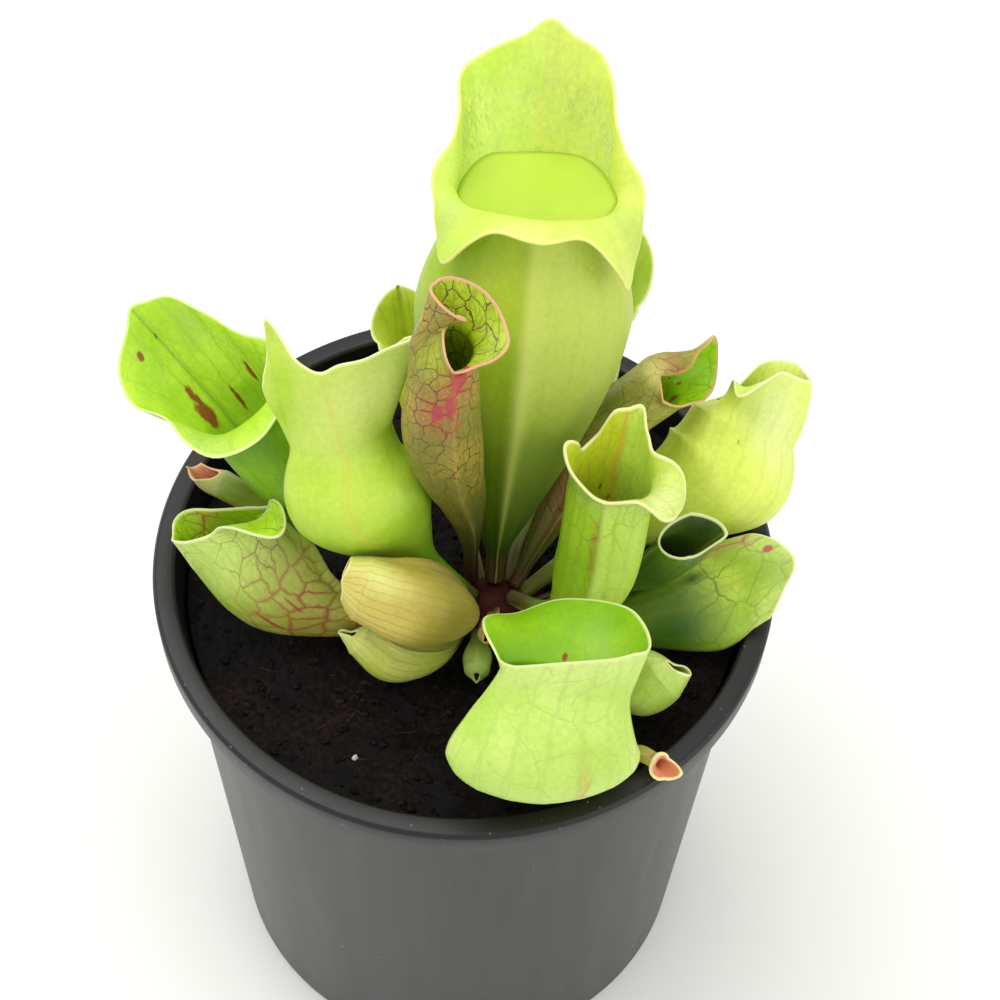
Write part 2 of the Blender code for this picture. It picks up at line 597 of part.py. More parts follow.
def build_water(plant):
    """The pool in the tall pitcher, up to a level surface inside its wall."""
    shape = PLAIN | PITCHERS["pitcher_tall"]
    rows = shape["grid"][0]
    outer, plain = pitcher_faces(shape)
    wall = inset(plain, BLADE + WATER_GAP)
    first = int(WATER_BOTTOM * (rows - 1))
    sheet = []
    for column in range(wall.shape[1]):
        line = wall[first:, column]
        above = int(np.argmax(line[:, 2] > WATER_LEVEL))
        low, high = line[above - 1, 2], line[above, 2]
        top = above - 1 + (WATER_LEVEL - low) / (high - low)
        whole = np.arange(rows - first - 1)
        places = np.append(whole, [(whole[-1] + top) / 2, top])
        sheet.append([np.interp(places, np.arange(len(line)), line[:, k]) for k in range(3)])
    sheet = np.array(sheet).transpose(2, 0, 1)
    bm = bmesh.new()
    points = skin(bm, sheet)
    fan(bm, points[0])
    fan(bm, points[-1])
    finish(bm, "water", (0.45, 0.60, 0.10), 0.05, plant)


def main():
    clear_scene()
    plant = bpy.data.objects.new("plant", None)
    bpy.context.collection.objects.link(plant)
    plant.location = (0, 0, POT_HEIGHT)
    build_pot()
    build_soil()
    build_crown(plant)
    for name, shape in PITCHERS.items():
        build_pitcher(name, PLAIN | shape, plant)
    build_water(plant)


main()
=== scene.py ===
# Looks of a southern purple pitcher plant in a black nursery pot.
# Metres, +Z up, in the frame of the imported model. Each CAD node is replaced by a finer piece of
# the same form, made from the same named sizes, with its own procedural material.

from math import cos, pi, radians, sin

import bpy
import numpy as np
from bpy.props import FloatProperty, FloatVectorProperty, IntProperty, PointerProperty
from mathutils import Matrix, Vector, noise


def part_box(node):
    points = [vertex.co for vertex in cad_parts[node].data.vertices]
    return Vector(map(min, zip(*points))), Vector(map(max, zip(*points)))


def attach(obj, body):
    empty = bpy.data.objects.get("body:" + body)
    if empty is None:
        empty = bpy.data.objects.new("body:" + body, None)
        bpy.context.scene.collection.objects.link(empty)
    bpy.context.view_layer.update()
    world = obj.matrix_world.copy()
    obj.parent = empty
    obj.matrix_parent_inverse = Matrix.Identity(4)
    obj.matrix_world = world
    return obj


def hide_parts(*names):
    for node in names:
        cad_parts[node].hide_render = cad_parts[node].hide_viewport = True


bl_info = {
    "name": "Potted Pitcher Plant",
    "version": (1, 0, 0),
    "blender": (4, 5, 0),
    "location": "View3D > Sidebar > Pitcher Plant",
    "description": "Builds a pitcher plant with veined trumpet leaves in a black nursery pot",
    "category": "Add Mesh",
}

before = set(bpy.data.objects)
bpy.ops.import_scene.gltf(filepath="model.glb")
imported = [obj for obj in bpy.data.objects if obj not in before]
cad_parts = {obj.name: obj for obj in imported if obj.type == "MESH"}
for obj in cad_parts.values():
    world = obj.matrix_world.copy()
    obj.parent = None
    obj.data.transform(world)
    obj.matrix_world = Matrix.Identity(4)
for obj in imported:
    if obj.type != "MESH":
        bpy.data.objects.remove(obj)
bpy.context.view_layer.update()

MM = 0.001
POT_LOW, POT_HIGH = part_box("pot")
POT_HEIGHT = POT_HIGH.z
RIM_RADIUS = (POT_HIGH.x - POT_LOW.x) / 2 / MM
RIM_PLANE = POT_HEIGHT / MM
MERGED = 1e-7  # points nearer than this are one, metres

# The photo's camera, worked out from the rim and the pot's outline: its place in mm from the
# middle of the rim plane, its right and up directions, and its lens and sensor width in mm
CAMERA_PLACE = (6.8, -245.9, 373.3)
CAMERA_RIGHT = (0.9991, 0.0356, 0.0248)
CAMERA_UP = (-0.0433, 0.8194, 0.5715)
SENSOR_WIDTH = 36.0
LENS = 76.92

# Pot, from the CAD model's own profile, mm
SKIRT_DROP = 6.6
SKIRT_WALL = 1.3
SKIRT_DRAFT = 0.2  # how far the rim's skirt thins towards its free edge
RIM_BORE = 60.3
RIM_ROUND = (0.7, 0.8)  # inwards and down
RIM_TOE = 0.1
BORE_ROUND = 0.6
BODY_TOP_RADIUS = 60.4
NECK_RADIUS = BODY_TOP_RADIUS + 1.2
RING_GAP = 1.8  # height of the neck between skirt and ring
RING_HEIGHT = 2.4
RING_OUT = 1.5
RING_SLOPE = 0.6
BASE_RADIUS = 55.0
BASE_ROUND = (1.4, 1.2)  # inwards and up
WALL = 1.3
FLOOR = 1.6
DRAIN_HOLES = 8
DRAIN_RADIUS = 4.0
DRAIN_CIRCLE = 40.0

# Peat, mm
SOIL_DROP = 7.9
SOIL_RELIEF = 2.2
SOIL_LUMPS = 70
LUMP_SIZES = (2.5, 6)
LUMP_RISES = (0.4, 1.8)
CRUMB_WAVES = ((5.0, 1.0), (2.0, 0.6), (0.8, 0.4))  # size of each wave, and its share of the relief
CLEAR = 0.3  # gap between the peat and the pot
SOIL_SEED = 11  # the CAD bed's own
LITTER_SEED = 5

# Crown, mm
CROWN_CENTRE = (6, -9, -6)
CROWN_RADII = (6.2, 6.2, 6.5)
CROWN_RIBS = 9
CROWN_RIB_SHARE = 0.05  # height of a rib as a share of the radius
CROWN_TWIST = 0.7
CROWN_DENTS = (2.2, 0.03)  # size of a dent, mm, and its depth as a share of the radius
CROWN_FIT = 0.97  # keeps ribs and dents within the CAD crown
CROWN_SEED = 9

# Water in the tall pitcher
WATER_LEVEL = 79.5  # height of the pool's surface, mm from the rim plane
WATER_BOTTOM = 0.65  # share of the tall tube where the pool begins
WATER_SKIN = 0.04  # gap between the pool and the wall that holds it, mm
MENISCUS = 0.25  # rise of the water at the wall, mm
MENISCUS_FALL = 14  # how fast that rise ends, over the pool's half width

# Form of every pitcher
BLADE = 0.7  # mm
FINE_BLADE = 0.6  # mm
MARGIN_TAPER = 1.3  # how far in from the margin the blade thins or swells, mm
SOLID_STALK = 0.4  # share of the tube below which a pitcher is solid
EDGE_SAMPLES = 300  # points of the smooth curve through an edge list
BEND_STEPS = 12  # steps in which a lobe's bend is added up
HEADING_REACH = 0.9  # share of the way to the nearer end over which the tube's heading is averaged
HEADINGS = 9  # headings in that average
WING_SPREAD = 0.16  # half width of the front wing, radians
WING_POWER = 0.8  # less keeps the wing high for longer
LIP_POWER = 0.9  # less makes the lip wider
SIDE_CHANGE = 3  # how fast a left lobe turns into a right one across the middle
SHORTEST = 1e-9  # keeps a division by no length at all possible

# Relief of every pitcher's faces, mm
SWELLS = ((11.0, 1.0, 0), (4.5, 0.3, 31))  # size, share of the look's swell, and seed
RUFFLE_SIZE = 6.0
RUFFLE_SEED = 57
RUFFLE_REACH = 4.0  # how far in from the margin the ruffle fades
SMOOTH_FOOT = 14  # run from the foot over which the relief grows to its full height
RIB_HEIGHT = 0.07
RIB_POWER = 10  # more makes a rib narrower
RIB_END = 5  # how far in from the margin the ribs fade
SEED_STEP = 7.3  # how far apart two seeds read the noise

# What each point of a leaf is given for its material
KEEL_SPREAD = 0.07  # half width of the keel's stripe, radians
MIDRIB_SPREAD = 0.5  # half width of the midrib's stripe, mm
MARK_CORE = 1.15  # a mark's value at its middle, before it is cut to 1
MARK_KINDS = ("spot", "flush", "pale", "shade")
LEAF_VALUES = ("edge", "inside", "share", "keel", "midrib", "side", *MARK_KINDS)

# Settings that many shader nodes share
COLOUR = {"out": 2, "data_type": "RGBA"}
SOFT = {"interpolation_type": "SMOOTHSTEP"}
CELL_EDGES = {"voronoi_dimensions": "2D", "feature": "DISTANCE_TO_EDGE"}

# Sizes of a pitcher that doesn't give its own, in mm and degrees, and shares of its length
PLAIN = dict(
    stalk=1.5, belly=6.0, mouth=6.0, start=0.12, at=0.7, oval=1.0, keel=1.5,
    back=12, left=6, right=6, lip=2, back_lean=0, left_lean=20, right_lean=20, lip_lean=60,
    back_curl=0, left_curl=20, right_curl=20, lip_curl=120,
    edge=(),
)  # fmt: skip

# Rows along the tube, rows along the hood and columns around
LARGE = (96, 56, 144)
MEDIUM = (64, 36, 104)
SMALL = (52, 28, 80)
TINY = (40, 18, 52)
BUD = (28, 12, 32)

# path: middle of the leaf from foot to mouth, mm from the rim's middle. face: where its front
# looks. belly: its widest radius, at a share of the tube. edge: degrees off the back, length in
# mm, lean and curl in degrees of the hood, the lobes and the lip.
PITCHERS = {
    "pitcher_tall": dict(
        grid=LARGE, slot="yellow_green_leaf",
        path=[(6.5, -5.5, 0), (7, 2, 14), (9, 14, 47), (11, 28, 79)], face=(0.03, -1, 0.15),
        stalk=2.2, belly=18.4, mouth=13.2, at=0.78, oval=0.74, keel=2.2,
        edge=[
            (-180, 9.5, 55, 70), (-155, 6.5, 55, 80), (-130, 11.5, 115, 55), (-115, 7, 100, 70),
            (-100, 4.5, 35, 110), (-85, 8, 3, 30), (-70, 13, 6, 0), (-50, 20, 17, 0),
            (-33, 23, 18, -4), (-16, 27, 3, 0), (0, 31, 0, 0), (16, 28, 2, 0), (33, 25, 8, 0),
            (50, 20.5, 6, 0),
            (70, 13, 0, 0), (85, 8, 2, 30), (100, 5.5, 35, 110), (115, 9, 100, 70),
            (130, 14, 115, 55), (155, 6.5, 55, 80), (180, 9.5, 55, 70),
        ],
    ),
    "pitcher_left_hood": dict(
        grid=MEDIUM, slot="green_leaf",
        path=[(0.5, -5, -5.5), (-15, 2.5, 6), (-34, 4.5, 22), (-45, 9, 37)], face=(0.75, -0.5, 0.6),
        belly=9.2, mouth=9.4,
        edge=[
            (-180, 5, 60, 60), (-150, 7.5, 65, 60), (-120, 8.5, 60, 40), (-90, 10.5, 25, 5),
            (-60, 15.5, 26, 0), (-40, 20, 18, 0), (-20, 24, 4, 0), (0, 27, 0, 0), (20, 25.5, 0, 0),
            (40, 22, 10, 0), (60, 15.5, 8, 0), (90, 9, 2, 10), (120, 6, 30, 10),
            (150, 3.5, 45, 40), (180, 5, 60, 60),
        ],
    ),
    "pitcher_eared": dict(
        grid=MEDIUM, slot="yellow_green_leaf",
        path=[(2, -9.5, -0.5), (-5.5, -9, 10), (-20.5, -9, 32.6), (-24, -3.6, 45.6)],
        face=(-0.22, 1, 0.1), belly=12.2, mouth=8.3, start=0.34, at=0.66, oval=0.68,
        edge=[
            (-180, 1.5, 15, 40), (-130, 2, 10, 20), (-105, 4, 10, 10), (-88, 9, 12, 5), (-78, 16, 12, 0),
            (-66, 25, 31, 0), (-45, 19.5, 14, 0), (-20, 18, 3, 0), (0, 17, 0, 0), (20, 19.5, -2, 0),
            (45, 23, -7, 0), (66, 28, -4, 0), (78, 20, -2, 0), (88, 13, 6, 5), (105, 6, 10, 10),
            (130, 2.5, 10, 20), (180, 1.5, 15, 40),
        ],
    ),
    "pitcher_veined": dict(
        grid=MEDIUM, slot="tan_leaf",
        path=[(1.6, -5, -1.2), (0.5, -6.5, 23), (-4.2, -10.5, 54), (-4.2, -11, 82)],
        face=(0.33, -0.94, 0.05), belly=7.4, mouth=6, keel=2,
        edge=[
            (-180, 1, 20, 20), (-150, 8, -15, -50), (-120, 11.5, -25, -60), (-90, 12.5, -25, -65),
            (-45, 13, -10, -45), (-20, 12, 0, -15), (0, 11.5, 0, 0), (20, 10, 10, 5), (45, 8.5, 25, 5),
            (70, 7, 40, 10), (90, 6, 55, 10), (110, 5.5, 65, 15), (130, 3, 70, 20),
            (150, 1.5, 50, 20), (180, 1, 20, 20),
        ],
    ),
    "pitcher_rear_left": dict(
        grid=SMALL, slot="green_leaf",
        path=[(3.5, -3, -5.5), (-2, 12, 3), (-8.5, 23.5, 21), (-11.5, 28.5, 32)],
        face=(0.6, -0.8, 0.2), mouth=5, back=15, back_curl=-30,
    ),
    "pitcher_rear_right": dict(
        grid=SMALL, slot="green_leaf",
        path=[(9, -3, -5.5), (13, 14, 1), (23.5, 30.5, 15), (27, 38, 36)],
        face=(-0.6, -0.8, 0.2), belly=5.5, mouth=4.5, back=18, left=5, right=5,
    ),
    "pitcher_tan": dict(
        grid=SMALL, slot="tan_leaf",
        path=[(2.5, -12.5, -1.5), (0, -18, 6), (-10, -27, 23), (-19, -25.5, 25.5)],
        face=(0.2, 0.9, 0.5), belly=7.9, mouth=6.4, at=0.62,
        edge=[
            (-180, 4, -15, 0), (-130, 4.5, -25, 0), (-90, 6, -40, -10), (-45, 5, -35, -20),
            (0, 4.5, -30, -30), (45, 5, -30, -40), (90, 6, -20, -60), (130, 4.5, -25, 0),
            (180, 4, -15, 0),
        ],
    ),
    "pitcher_crescent": dict(
        grid=TINY, slot="yellow_green_leaf",
        path=[(1, -13.5, -5.5), (-4.2, -22.5, -3), (-13.5, -25.5, -1.5), (-20.5, -23, 2.5)],
        face=(0.9, 0, 0.9), stalk=1.4, belly=4.4, mouth=3.4, back=4.5, left=3.5, right=3.5, lip=2.5,
        back_lean=-25, left_lean=-45, right_lean=-45, lip_lean=-50, left_curl=-20, right_curl=-20,
        lip_curl=-20,
    ),
    "pitcher_left_low": dict(
        grid=MEDIUM, slot="green_leaf",
        path=[
            (-0.5, -10.5, -5.5), (-14, -15, -3), (-30, -15.8, 2.5), (-39.5, -13.2, 9),
            (-46.5, -9.4, 16.6),
        ],
        face=(1, 0.1, 0.2), belly=8, mouth=7.2, oval=2.2,
        edge=[
            (-180, 1, 10, 20), (-160, 7, 40, 90), (-140, 10, 40, 120), (-115, 8, 10, 70), (-90, 5, 0, 10),
            (-60, 6, 0, 0), (-30, 7.3, -5, 0), (0, 7.5, -10, 0), (30, 9.5, -15, 0), (60, 9, 0, 0),
            (90, 5.5, -5, 0), (120, 2.5, -5, 0), (150, 1, -10, 0), (180, 1, 10, 20),
        ],
    ),
    "pitcher_slim": dict(
        grid=TINY, slot="yellow_green_leaf",
        path=[(-0.6, -7.5, -4.2), (-12.5, -4.2, 0.4), (-34.5, 2, 6), (-51, 8.2, 10.5)],
        face=(0.9, 0, 0.9), stalk=1.4, belly=2.6, mouth=3, back=9, left=6, right=5, lip=1.5,
        back_lean=20, back_curl=-80, left_lean=-10, right_lean=-15, lip_lean=-20, lip_curl=-20,
    ),
    "pitcher_rolled": dict(
        grid=MEDIUM, slot="yellow_green_leaf",
        path=[(10, -9.5, -0.5), (20, -16.5, 6), (26, -14.5, 18), (28, -9.5, 42)],
        face=(-0.15, -1, 0.2), stalk=1.6, belly=7.8, mouth=7.6, oval=0.85,
        edge=[
            (-180, 1.5, 30, 30), (-150, 4, 15, 30), (-120, 6, 12, 20), (-100, 8.5, 10, 10),
            (-80, 7, 0, 0), (-60, 3.5, 0, 0), (-35, 6, 0, 0), (-18, 11.5, 0, 0), (0, 12.5, 2, 0),
            (18, 13, 8, 0), (35, 8.5, 4, 0), (60, 6, -4, 10), (80, 6.5, 10, 110), (105, 7.5, 20, 150),
            (130, 7, 20, 130), (150, 4, 15, 40), (180, 1.5, 30, 30),
        ],
    ),
    "pitcher_right_large": dict(
        grid=MEDIUM, slot="yellow_green_leaf",
        path=[(12, -6, -5), (31.5, 5.5, 4), (51.3, 12, 13.2), (56.3, 20.5, 22)],
        face=(-1, -0.1, 0.1), stalk=1.6, belly=12, mouth=9.5, at=0.75, oval=1.5,
        edge=[
            (-180, 5, -60, 0), (-140, 4, -50, 0), (-115, 6.5, -25, 0), (-90, 13, -5, 0),
            (-60, 15.5, -4, 0), (-30, 15.5, 3, -28), (0, 15.5, 3, -34), (30, 14.5, 4, -28),
            (60, 14, -3, -12), (88, 14, -15, 30), (105, 15, -25, 110), (120, 14, -35, 170),
            (140, 7, -50, 60), (160, 5, -60, 0), (180, 5, -60, 0),
        ],
    ),
    "pitcher_right_small": dict(
        grid=SMALL, slot="dark_green_leaf",
        path=[(12.5, -9, -5.3), (26.8, -6.7, 1.1), (37.8, -9.6, 12.3), (42.8, -10.6, 21.9)],
        face=(-0.8, -0.3, 0.6), stalk=1.4, belly=4.2, mouth=4.6, oval=1.5, back=8.5, left=2.5,
        right=6, lip=1.5, lip_lean=10, lip_curl=20, left_lean=-10, left_curl=-10, right_lean=5,
    ),
    "pitcher_right_broad": dict(
        grid=MEDIUM, slot="green_leaf",
        path=[(12, -12, -5.5), (28, -13, -3.6), (46, -11.3, 1.8), (56, -8.9, 7.2)],
        face=(0, 0.57, -0.82), belly=7, mouth=5.2, at=0.72, oval=0.3,
        edge=[
            (-180, 3, -25, 0), (-140, 2.8, -25, 0), (-110, 2.6, -12, 0), (-90, 2.8, -10, 0),
            (-60, 4.6, -8, 0), (-30, 8.6, -8, 0), (0, 13, 0, 0), (30, 11.5, -5, 0), (60, 8.2, -6, 0),
            (90, 5.4, -8, 0), (110, 4, -10, 0), (140, 3.2, -25, 0), (180, 3, -25, 0),
        ],
    ),
    "pitcher_right_low": dict(
        grid=TINY, slot="green_leaf",
        path=[(10, -14.5, -5.5), (26, -24.5, -3), (36, -30.5, 0), (41, -28.5, 3.5)],
        face=(-1, -0.1, 0.5), stalk=1.4, belly=5.6, mouth=5.6, oval=1.2, back=4.5, left=5, right=5,
        lip=4.5, back_lean=-15, left_lean=-45, right_lean=-45, lip_lean=-45, back_curl=-20,
        left_curl=-25, right_curl=-25, lip_curl=-25,
    ),
    "pitcher_front": dict(
        grid=MEDIUM, slot="pale_leaf",
        path=[(7, -15.5, -5.5), (14, -33.5, 1), (17, -53, 13.5), (20.5, -45, 27)],
        face=(-1, -0.1, 0), stalk=1.6, belly=13.4, mouth=8.4, oval=2.3, keel=0.2, at=0.66,
        edge=[
            (-180, 2, 30, 0), (-150, 10, 45, 40), (-120, 12, 50, 40), (-90, 15, 52, 15),
            (-60, 15, 40, 15), (-30, 12, 15, 10), (0, 10, 5, 0), (30, 9.5, -5, 0), (60, 9, 0, 0),
            (90, 7.5, 0, 0), (120, 5, 0, 0), (150, 2.5, 0, 0), (180, 2, 30, 0),
        ],
    ),
    "pitcher_spotted": dict(
        grid=SMALL, slot="green_leaf",
        path=[(10.5, -6, -1.5), (16, 2, 7), (26.5, 15.4, 23), (37.8, 19.5, 35.4)],
        face=(0.1, -0.9, 0.5),
        edge=[
            (-180, 1.5, 30, 60), (-150, 3, 10, -60), (-120, 6, 5, -130), (-90, 9, 10, -140),
            (-60, 11.5, 5, -100), (-30, 12.5, -5, -50), (0, 15, -15, -10), (20, 13.5, 5, -10),
            (45, 10, 28, 10), (70, 7, 36, 10), (90, 5, 38, 0), (130, 3, 20, 0), (180, 1.5, 30, 60),
        ],
    ),
    "seedling_at_rim": dict(
        grid=BUD, slot="yellow_green_leaf",
        path=[(34.5, -42, -12), (35, -43, -5), (36.5, -46, 2), (40, -49, 4)],
        face=(-1, 0, 0.8), stalk=1.2, belly=1.5, mouth=1.5, back=5, left=3, right=1.6, lip=0.8,
        left_lean=5, right_lean=0,
    ),
    "bud_green": dict(
        grid=BUD, slot="dark_green_leaf",
        path=[(3.2, -15.5, -5.5), (3.6, -20.5, -4), (3.6, -26, -3)],
        face=(0, 1, 1), stalk=1.4, belly=3, mouth=2.6, back=3, left=2.5, right=2.5, lip=2,
        back_lean=-30, left_lean=-45, right_lean=-45, lip_lean=-45, left_curl=-10, right_curl=-10,
        lip_curl=-10,
    ),
    "bud_yellow": dict(
        grid=BUD, slot="tan_leaf",
        path=[(6, -13.5, -1), (6.5, -17.5, 2), (5.5, -22, 4.5)],
        face=(0.5, 1, 1), stalk=1.3, belly=2.5, mouth=2, back=2, left=1.8, right=1.8, lip=1.2,
        back_lean=-30, left_lean=-45, right_lean=-45, lip_lean=-45, left_curl=-10, right_curl=-10,
        lip_curl=-10,
    ),
}  # fmt: skip


def linear(colour):
    """A hex sRGB colour as linear red, green, blue and alpha."""
    parts = [int(colour[place : place + 2], 16) / 255 for place in (1, 3, 5)]
    made = [part / 12.92 if part <= 0.04045 else ((part + 0.055) / 1.055) ** 2.4 for part in parts]
    return (*made, 1.0)


def per_metre(size):
    """Scale of a pattern whose waves or cells are a size in mm."""
    return 1 / MM / size


def wire(tree, node, inputs):
    """Joins or sets a node's inputs."""
    for key, value in inputs.items():
        if isinstance(value, bpy.types.NodeSocket):
            tree.links.new(value, node.inputs[key])
        else:
            node.inputs[key].default_value = value


def add(tree, kind, inputs=None, out=0, **settings):
    """Adds a node with its settings, joins or sets its inputs, and gives back one output."""
    node = tree.nodes.new(kind)
    for key, value in settings.items():
        setattr(node, key, value)
    wire(tree, node, inputs or {})
    return node.outputs[out]


def new_material(name):
    """An empty Principled material, as (material, tree, shader)."""
    made = bpy.data.materials.new(name)
    made.use_nodes = True
    tree = made.node_tree
    return made, tree, tree.nodes["Principled BSDF"]


def mottled(name, waves, dark, light, relief=None, fixed=None):
    """A material in which two colours mingle. waves are the size in mm and the detail of the
    pattern, relief the strength and height in mm of its dents, fixed other shader values."""
    material, tree, shader = new_material(name)
    place = add(tree, "ShaderNodeTexCoord", out=3)
    size, detail = waves
    noisy = {"Vector": place, "Scale": per_metre(size), "Detail": detail}
    pattern = add(tree, "ShaderNodeTexNoise", noisy)
    colour = add(tree, "ShaderNodeMix", {0: pattern, 6: linear(dark), 7: linear(light)}, **COLOUR)
    wire(tree, shader, {"Base Color": colour} | (fixed or {}))
    if relief:
        strength, height = relief
        dents = {"Height": pattern, "Strength": strength, "Distance": height * MM}
        wire(tree, shader, {"Normal": add(tree, "ShaderNodeBump", dents)})
    return material


def deselect():
    if bpy.context.object and bpy.context.object.mode != "OBJECT":
        bpy.ops.object.mode_set(mode="OBJECT")
    bpy.ops.object.select_all(action="DESELECT")


def dress(piece, node, material):
    """Gives a finished piece its material, hangs it from the root and hides the CAD part it replaces."""
    piece.data.materials.clear()
    piece.data.materials.append(material)
    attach(piece, "root")
    if node:
        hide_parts(node)


def apply_modifier(piece, kind, **settings):
    modifier = piece.modifiers.new(kind.lower(), kind)
    for key, value in settings.items():
        setattr(modifier, key, value)
    bpy.context.view_layer.objects.active = piece
    bpy.ops.object.modifier_apply(modifier=modifier.name)


def ease(share):
    share = np.clip(share, 0.0, 1.0)
    return share * share * (3 - 2 * share)


def unit(vectors):
    return vectors / np.maximum(np.linalg.norm(vectors, axis=-1, keepdims=True), SHORTEST)


def around(columns):
    """Angle of each column, from the front round to the front."""
    return np.arange(columns) / columns * 2 * pi


def off_front(angle):
    return np.minimum(angle, 2 * pi - angle)


def closed(rows):
    """Rows with their first column repeated as the last, so that they meet themselves."""
    return np.concatenate([rows, rows[:, :1]], axis=1)


def pole(row):
    """A row whose points all meet in its middle."""
    return np.repeat(row.mean(0, keepdims=True), len(row), axis=0)[None]


def wavy(spots, size, seed):
    """Smooth noise from -1 to 1 at every spot, with waves of about size mm."""
    flat = spots.reshape(-1, 3) / size + seed * SEED_STEP
    made = np.array([noise.noise(Vector(spot)) for spot in flat])
    return made.reshape(spots.shape[:-1])


def along(path, shares):
    """Places and directions on a smooth curve through the path's points."""
    points = np.asarray(path, float)
    points = np.vstack([2 * points[0] - points[1], points, 2 * points[-1] - points[-2]])
    spans = len(points) - 3
    place = np.clip(shares, 0, 1) * spans
    index = np.minimum(place.astype(int), spans - 1)
    part = (place - index)[:, None]
    before, start, end, after = (points[index + step] for step in range(4))
    first = end - before
    square = 2 * before - 5 * start + 4 * end - after
    cube = 3 * start - before - 3 * end + after
    spot = 0.5 * (2 * start + first * part + square * part**2 + cube * part**3)
    return spot, unit(0.5 * (first + 2 * square * part + 3 * cube * part**2))


def tube(shape, rows, columns):
    """The tube's cross sections, its wing, and the frame at its mouth."""
    share = np.linspace(0, 1, rows)
    centre, _ = along(shape["path"], share)
    reach = HEADING_REACH * np.minimum(share, 1 - share)
    spread = np.linspace(-1, 1, HEADINGS)
    headings = [along(shape["path"], share + reach * part)[1] for part in spread]
    ahead = unit(np.mean(headings, axis=0))
    facing = unit(np.asarray(shape["face"], float))
    front = unit(facing - (ahead @ facing)[:, None] * ahead)
    side = np.cross(ahead, front)
    rising = ease((share - shape["start"]) / (shape["at"] - shape["start"]))
    closing = ease((share - shape["at"]) / (1 - shape["at"]))
    lower = shape["stalk"] + (shape["belly"] - shape["stalk"]) * rising
    upper = shape["belly"] + (shape["mouth"] - shape["belly"]) * closing
    radius = np.where(share < shape["at"], lower, upper)
    stretch = np.sqrt(1 + (shape["oval"] - 1) * ease(share))
    angle = around(columns)
    depth = (radius * stretch)[:, None] * np.cos(angle)
    width = (radius / stretch)[:, None] * np.sin(angle)
    body = centre[:, None] + depth[..., None] * front[:, None] + width[..., None] * side[:, None]
    wing = shape["keel"] * np.sin(pi * share) ** WING_POWER
    ridge = np.exp(-((off_front(angle) / WING_SPREAD) ** 2))
    winged = body + (wing[:, None] * ridge)[..., None] * front[:, None]
    return body, winged, angle, (ahead[-1], front[-1], side[-1])


def margin(shape, angle):
    """Length of the hood, lobes and lip, the angle where they start, and their bend."""
    if shape["edge"]:
        spots, _ = along(shape["edge"], np.linspace(0, 1, EDGE_SAMPLES))
        off = np.degrees(pi - angle)
        length, lean, curl = (np.interp(off, spots[:, 0], spots[:, row]) for row in (1, 2, 3))
        return length, np.radians(lean), np.radians(curl)
    off_back = np.abs(angle - pi)
    tall = np.where(off_back < pi / 2, np.cos(off_back) ** 2, 0.0)
    low = np.where(off_back > pi / 2, np.abs(np.cos(off_back)) ** LIP_POWER, 0.0)
    flank = 1 - tall - low
    leftness = 0.5 + 0.5 * np.clip(np.sin(angle) * SIDE_CHANGE, -1, 1)

    def blend(kind):
        lobes = shape["left" + kind] * leftness + shape["right" + kind] * (1 - leftness)
        return shape["back" + kind] * tall + lobes * flank + shape["lip" + kind] * low

    return blend(""), np.radians(blend("_lean")), np.radians(blend("_curl"))


def hood(shape, mouth, angle, directions, rows):
    """Rows of the hood, lobes and lip, each column bending in its own upright plane."""
    ahead, front, side = directions
    length, lean, curl = margin(shape, angle)
    stretch = np.sqrt(shape["oval"])
    outward = unit(np.cos(angle)[:, None] / stretch * front + np.sin(angle)[:, None] * stretch * side)
    made = []
    for reach in np.linspace(0, 1, rows + 1)[1:]:
        steps = (np.arange(BEND_STEPS) + 0.5) / BEND_STEPS * reach
        bend = lean + curl * steps[:, None]
        rise = (length * reach * np.cos(bend).mean(0))[:, None] * ahead
        spread = (length * reach * np.sin(bend).mean(0))[:, None] * outward
        made.append(mouth + rise + spread)
    return np.array(made)


def normals(sheet):
    """Outward normals of a sheet that closes on itself sideways."""
    sideways = np.roll(sheet, -1, 1) - np.roll(sheet, 1, 1)
    upward = np.gradient(sheet, axis=0)
    normal = unit(np.cross(sideways, upward))
    out = sheet - sheet.mean(1, keepdims=True)
    # The rows of the tube say which way is out.
    tube_rows = slice(2, len(sheet) // 2)
    if (out[tube_rows] * normal[tube_rows]).sum() < 0:
        normal = -normal
    return normal


def grid_piece(name, places, points=None, corners=None):
    """A closed piece from a grid primitive whose points are moved to places, mm from the rim's
    middle. Rows close on themselves sideways and each end row meets in one point. points are
    values kept at each point, and corners are UV maps, with a last column of their own."""
    rows, columns = places.shape[:2]
    deselect()
    bpy.ops.mesh.primitive_grid_add(x_subdivisions=columns, y_subdivisions=rows - 1, size=1)
    piece = bpy.context.object
    piece.name = piece.data.name = name
    mesh = piece.data
    mesh.vertices.foreach_set("co", (closed(places) * MM + np.array((0, 0, POT_HEIGHT))).ravel())
    for title, values in (points or {}).items():
        layer = mesh.attributes.new(title, "FLOAT", "POINT")
        layer.data.foreach_set("value", closed(values).ravel())
    vertex = np.empty(len(mesh.loops), int)
    mesh.loops.foreach_get("vertex_index", vertex)
    mesh.uv_layers.remove(mesh.uv_layers[0])
    for title, values in (corners or {}).items():
        layer = mesh.uv_layers.new(name=title)
        layer.data.foreach_set("uv", values.reshape(-1, 2)[vertex].ravel())
    bpy.ops.object.mode_set(mode="EDIT")
    bpy.ops.mesh.select_all(action="SELECT")
    bpy.ops.mesh.remove_doubles(threshold=MERGED)
    bpy.ops.mesh.normals_make_consistent(inside=False)
    bpy.ops.object.mode_set(mode="OBJECT")
    bpy.ops.object.shade_smooth()
    return piece


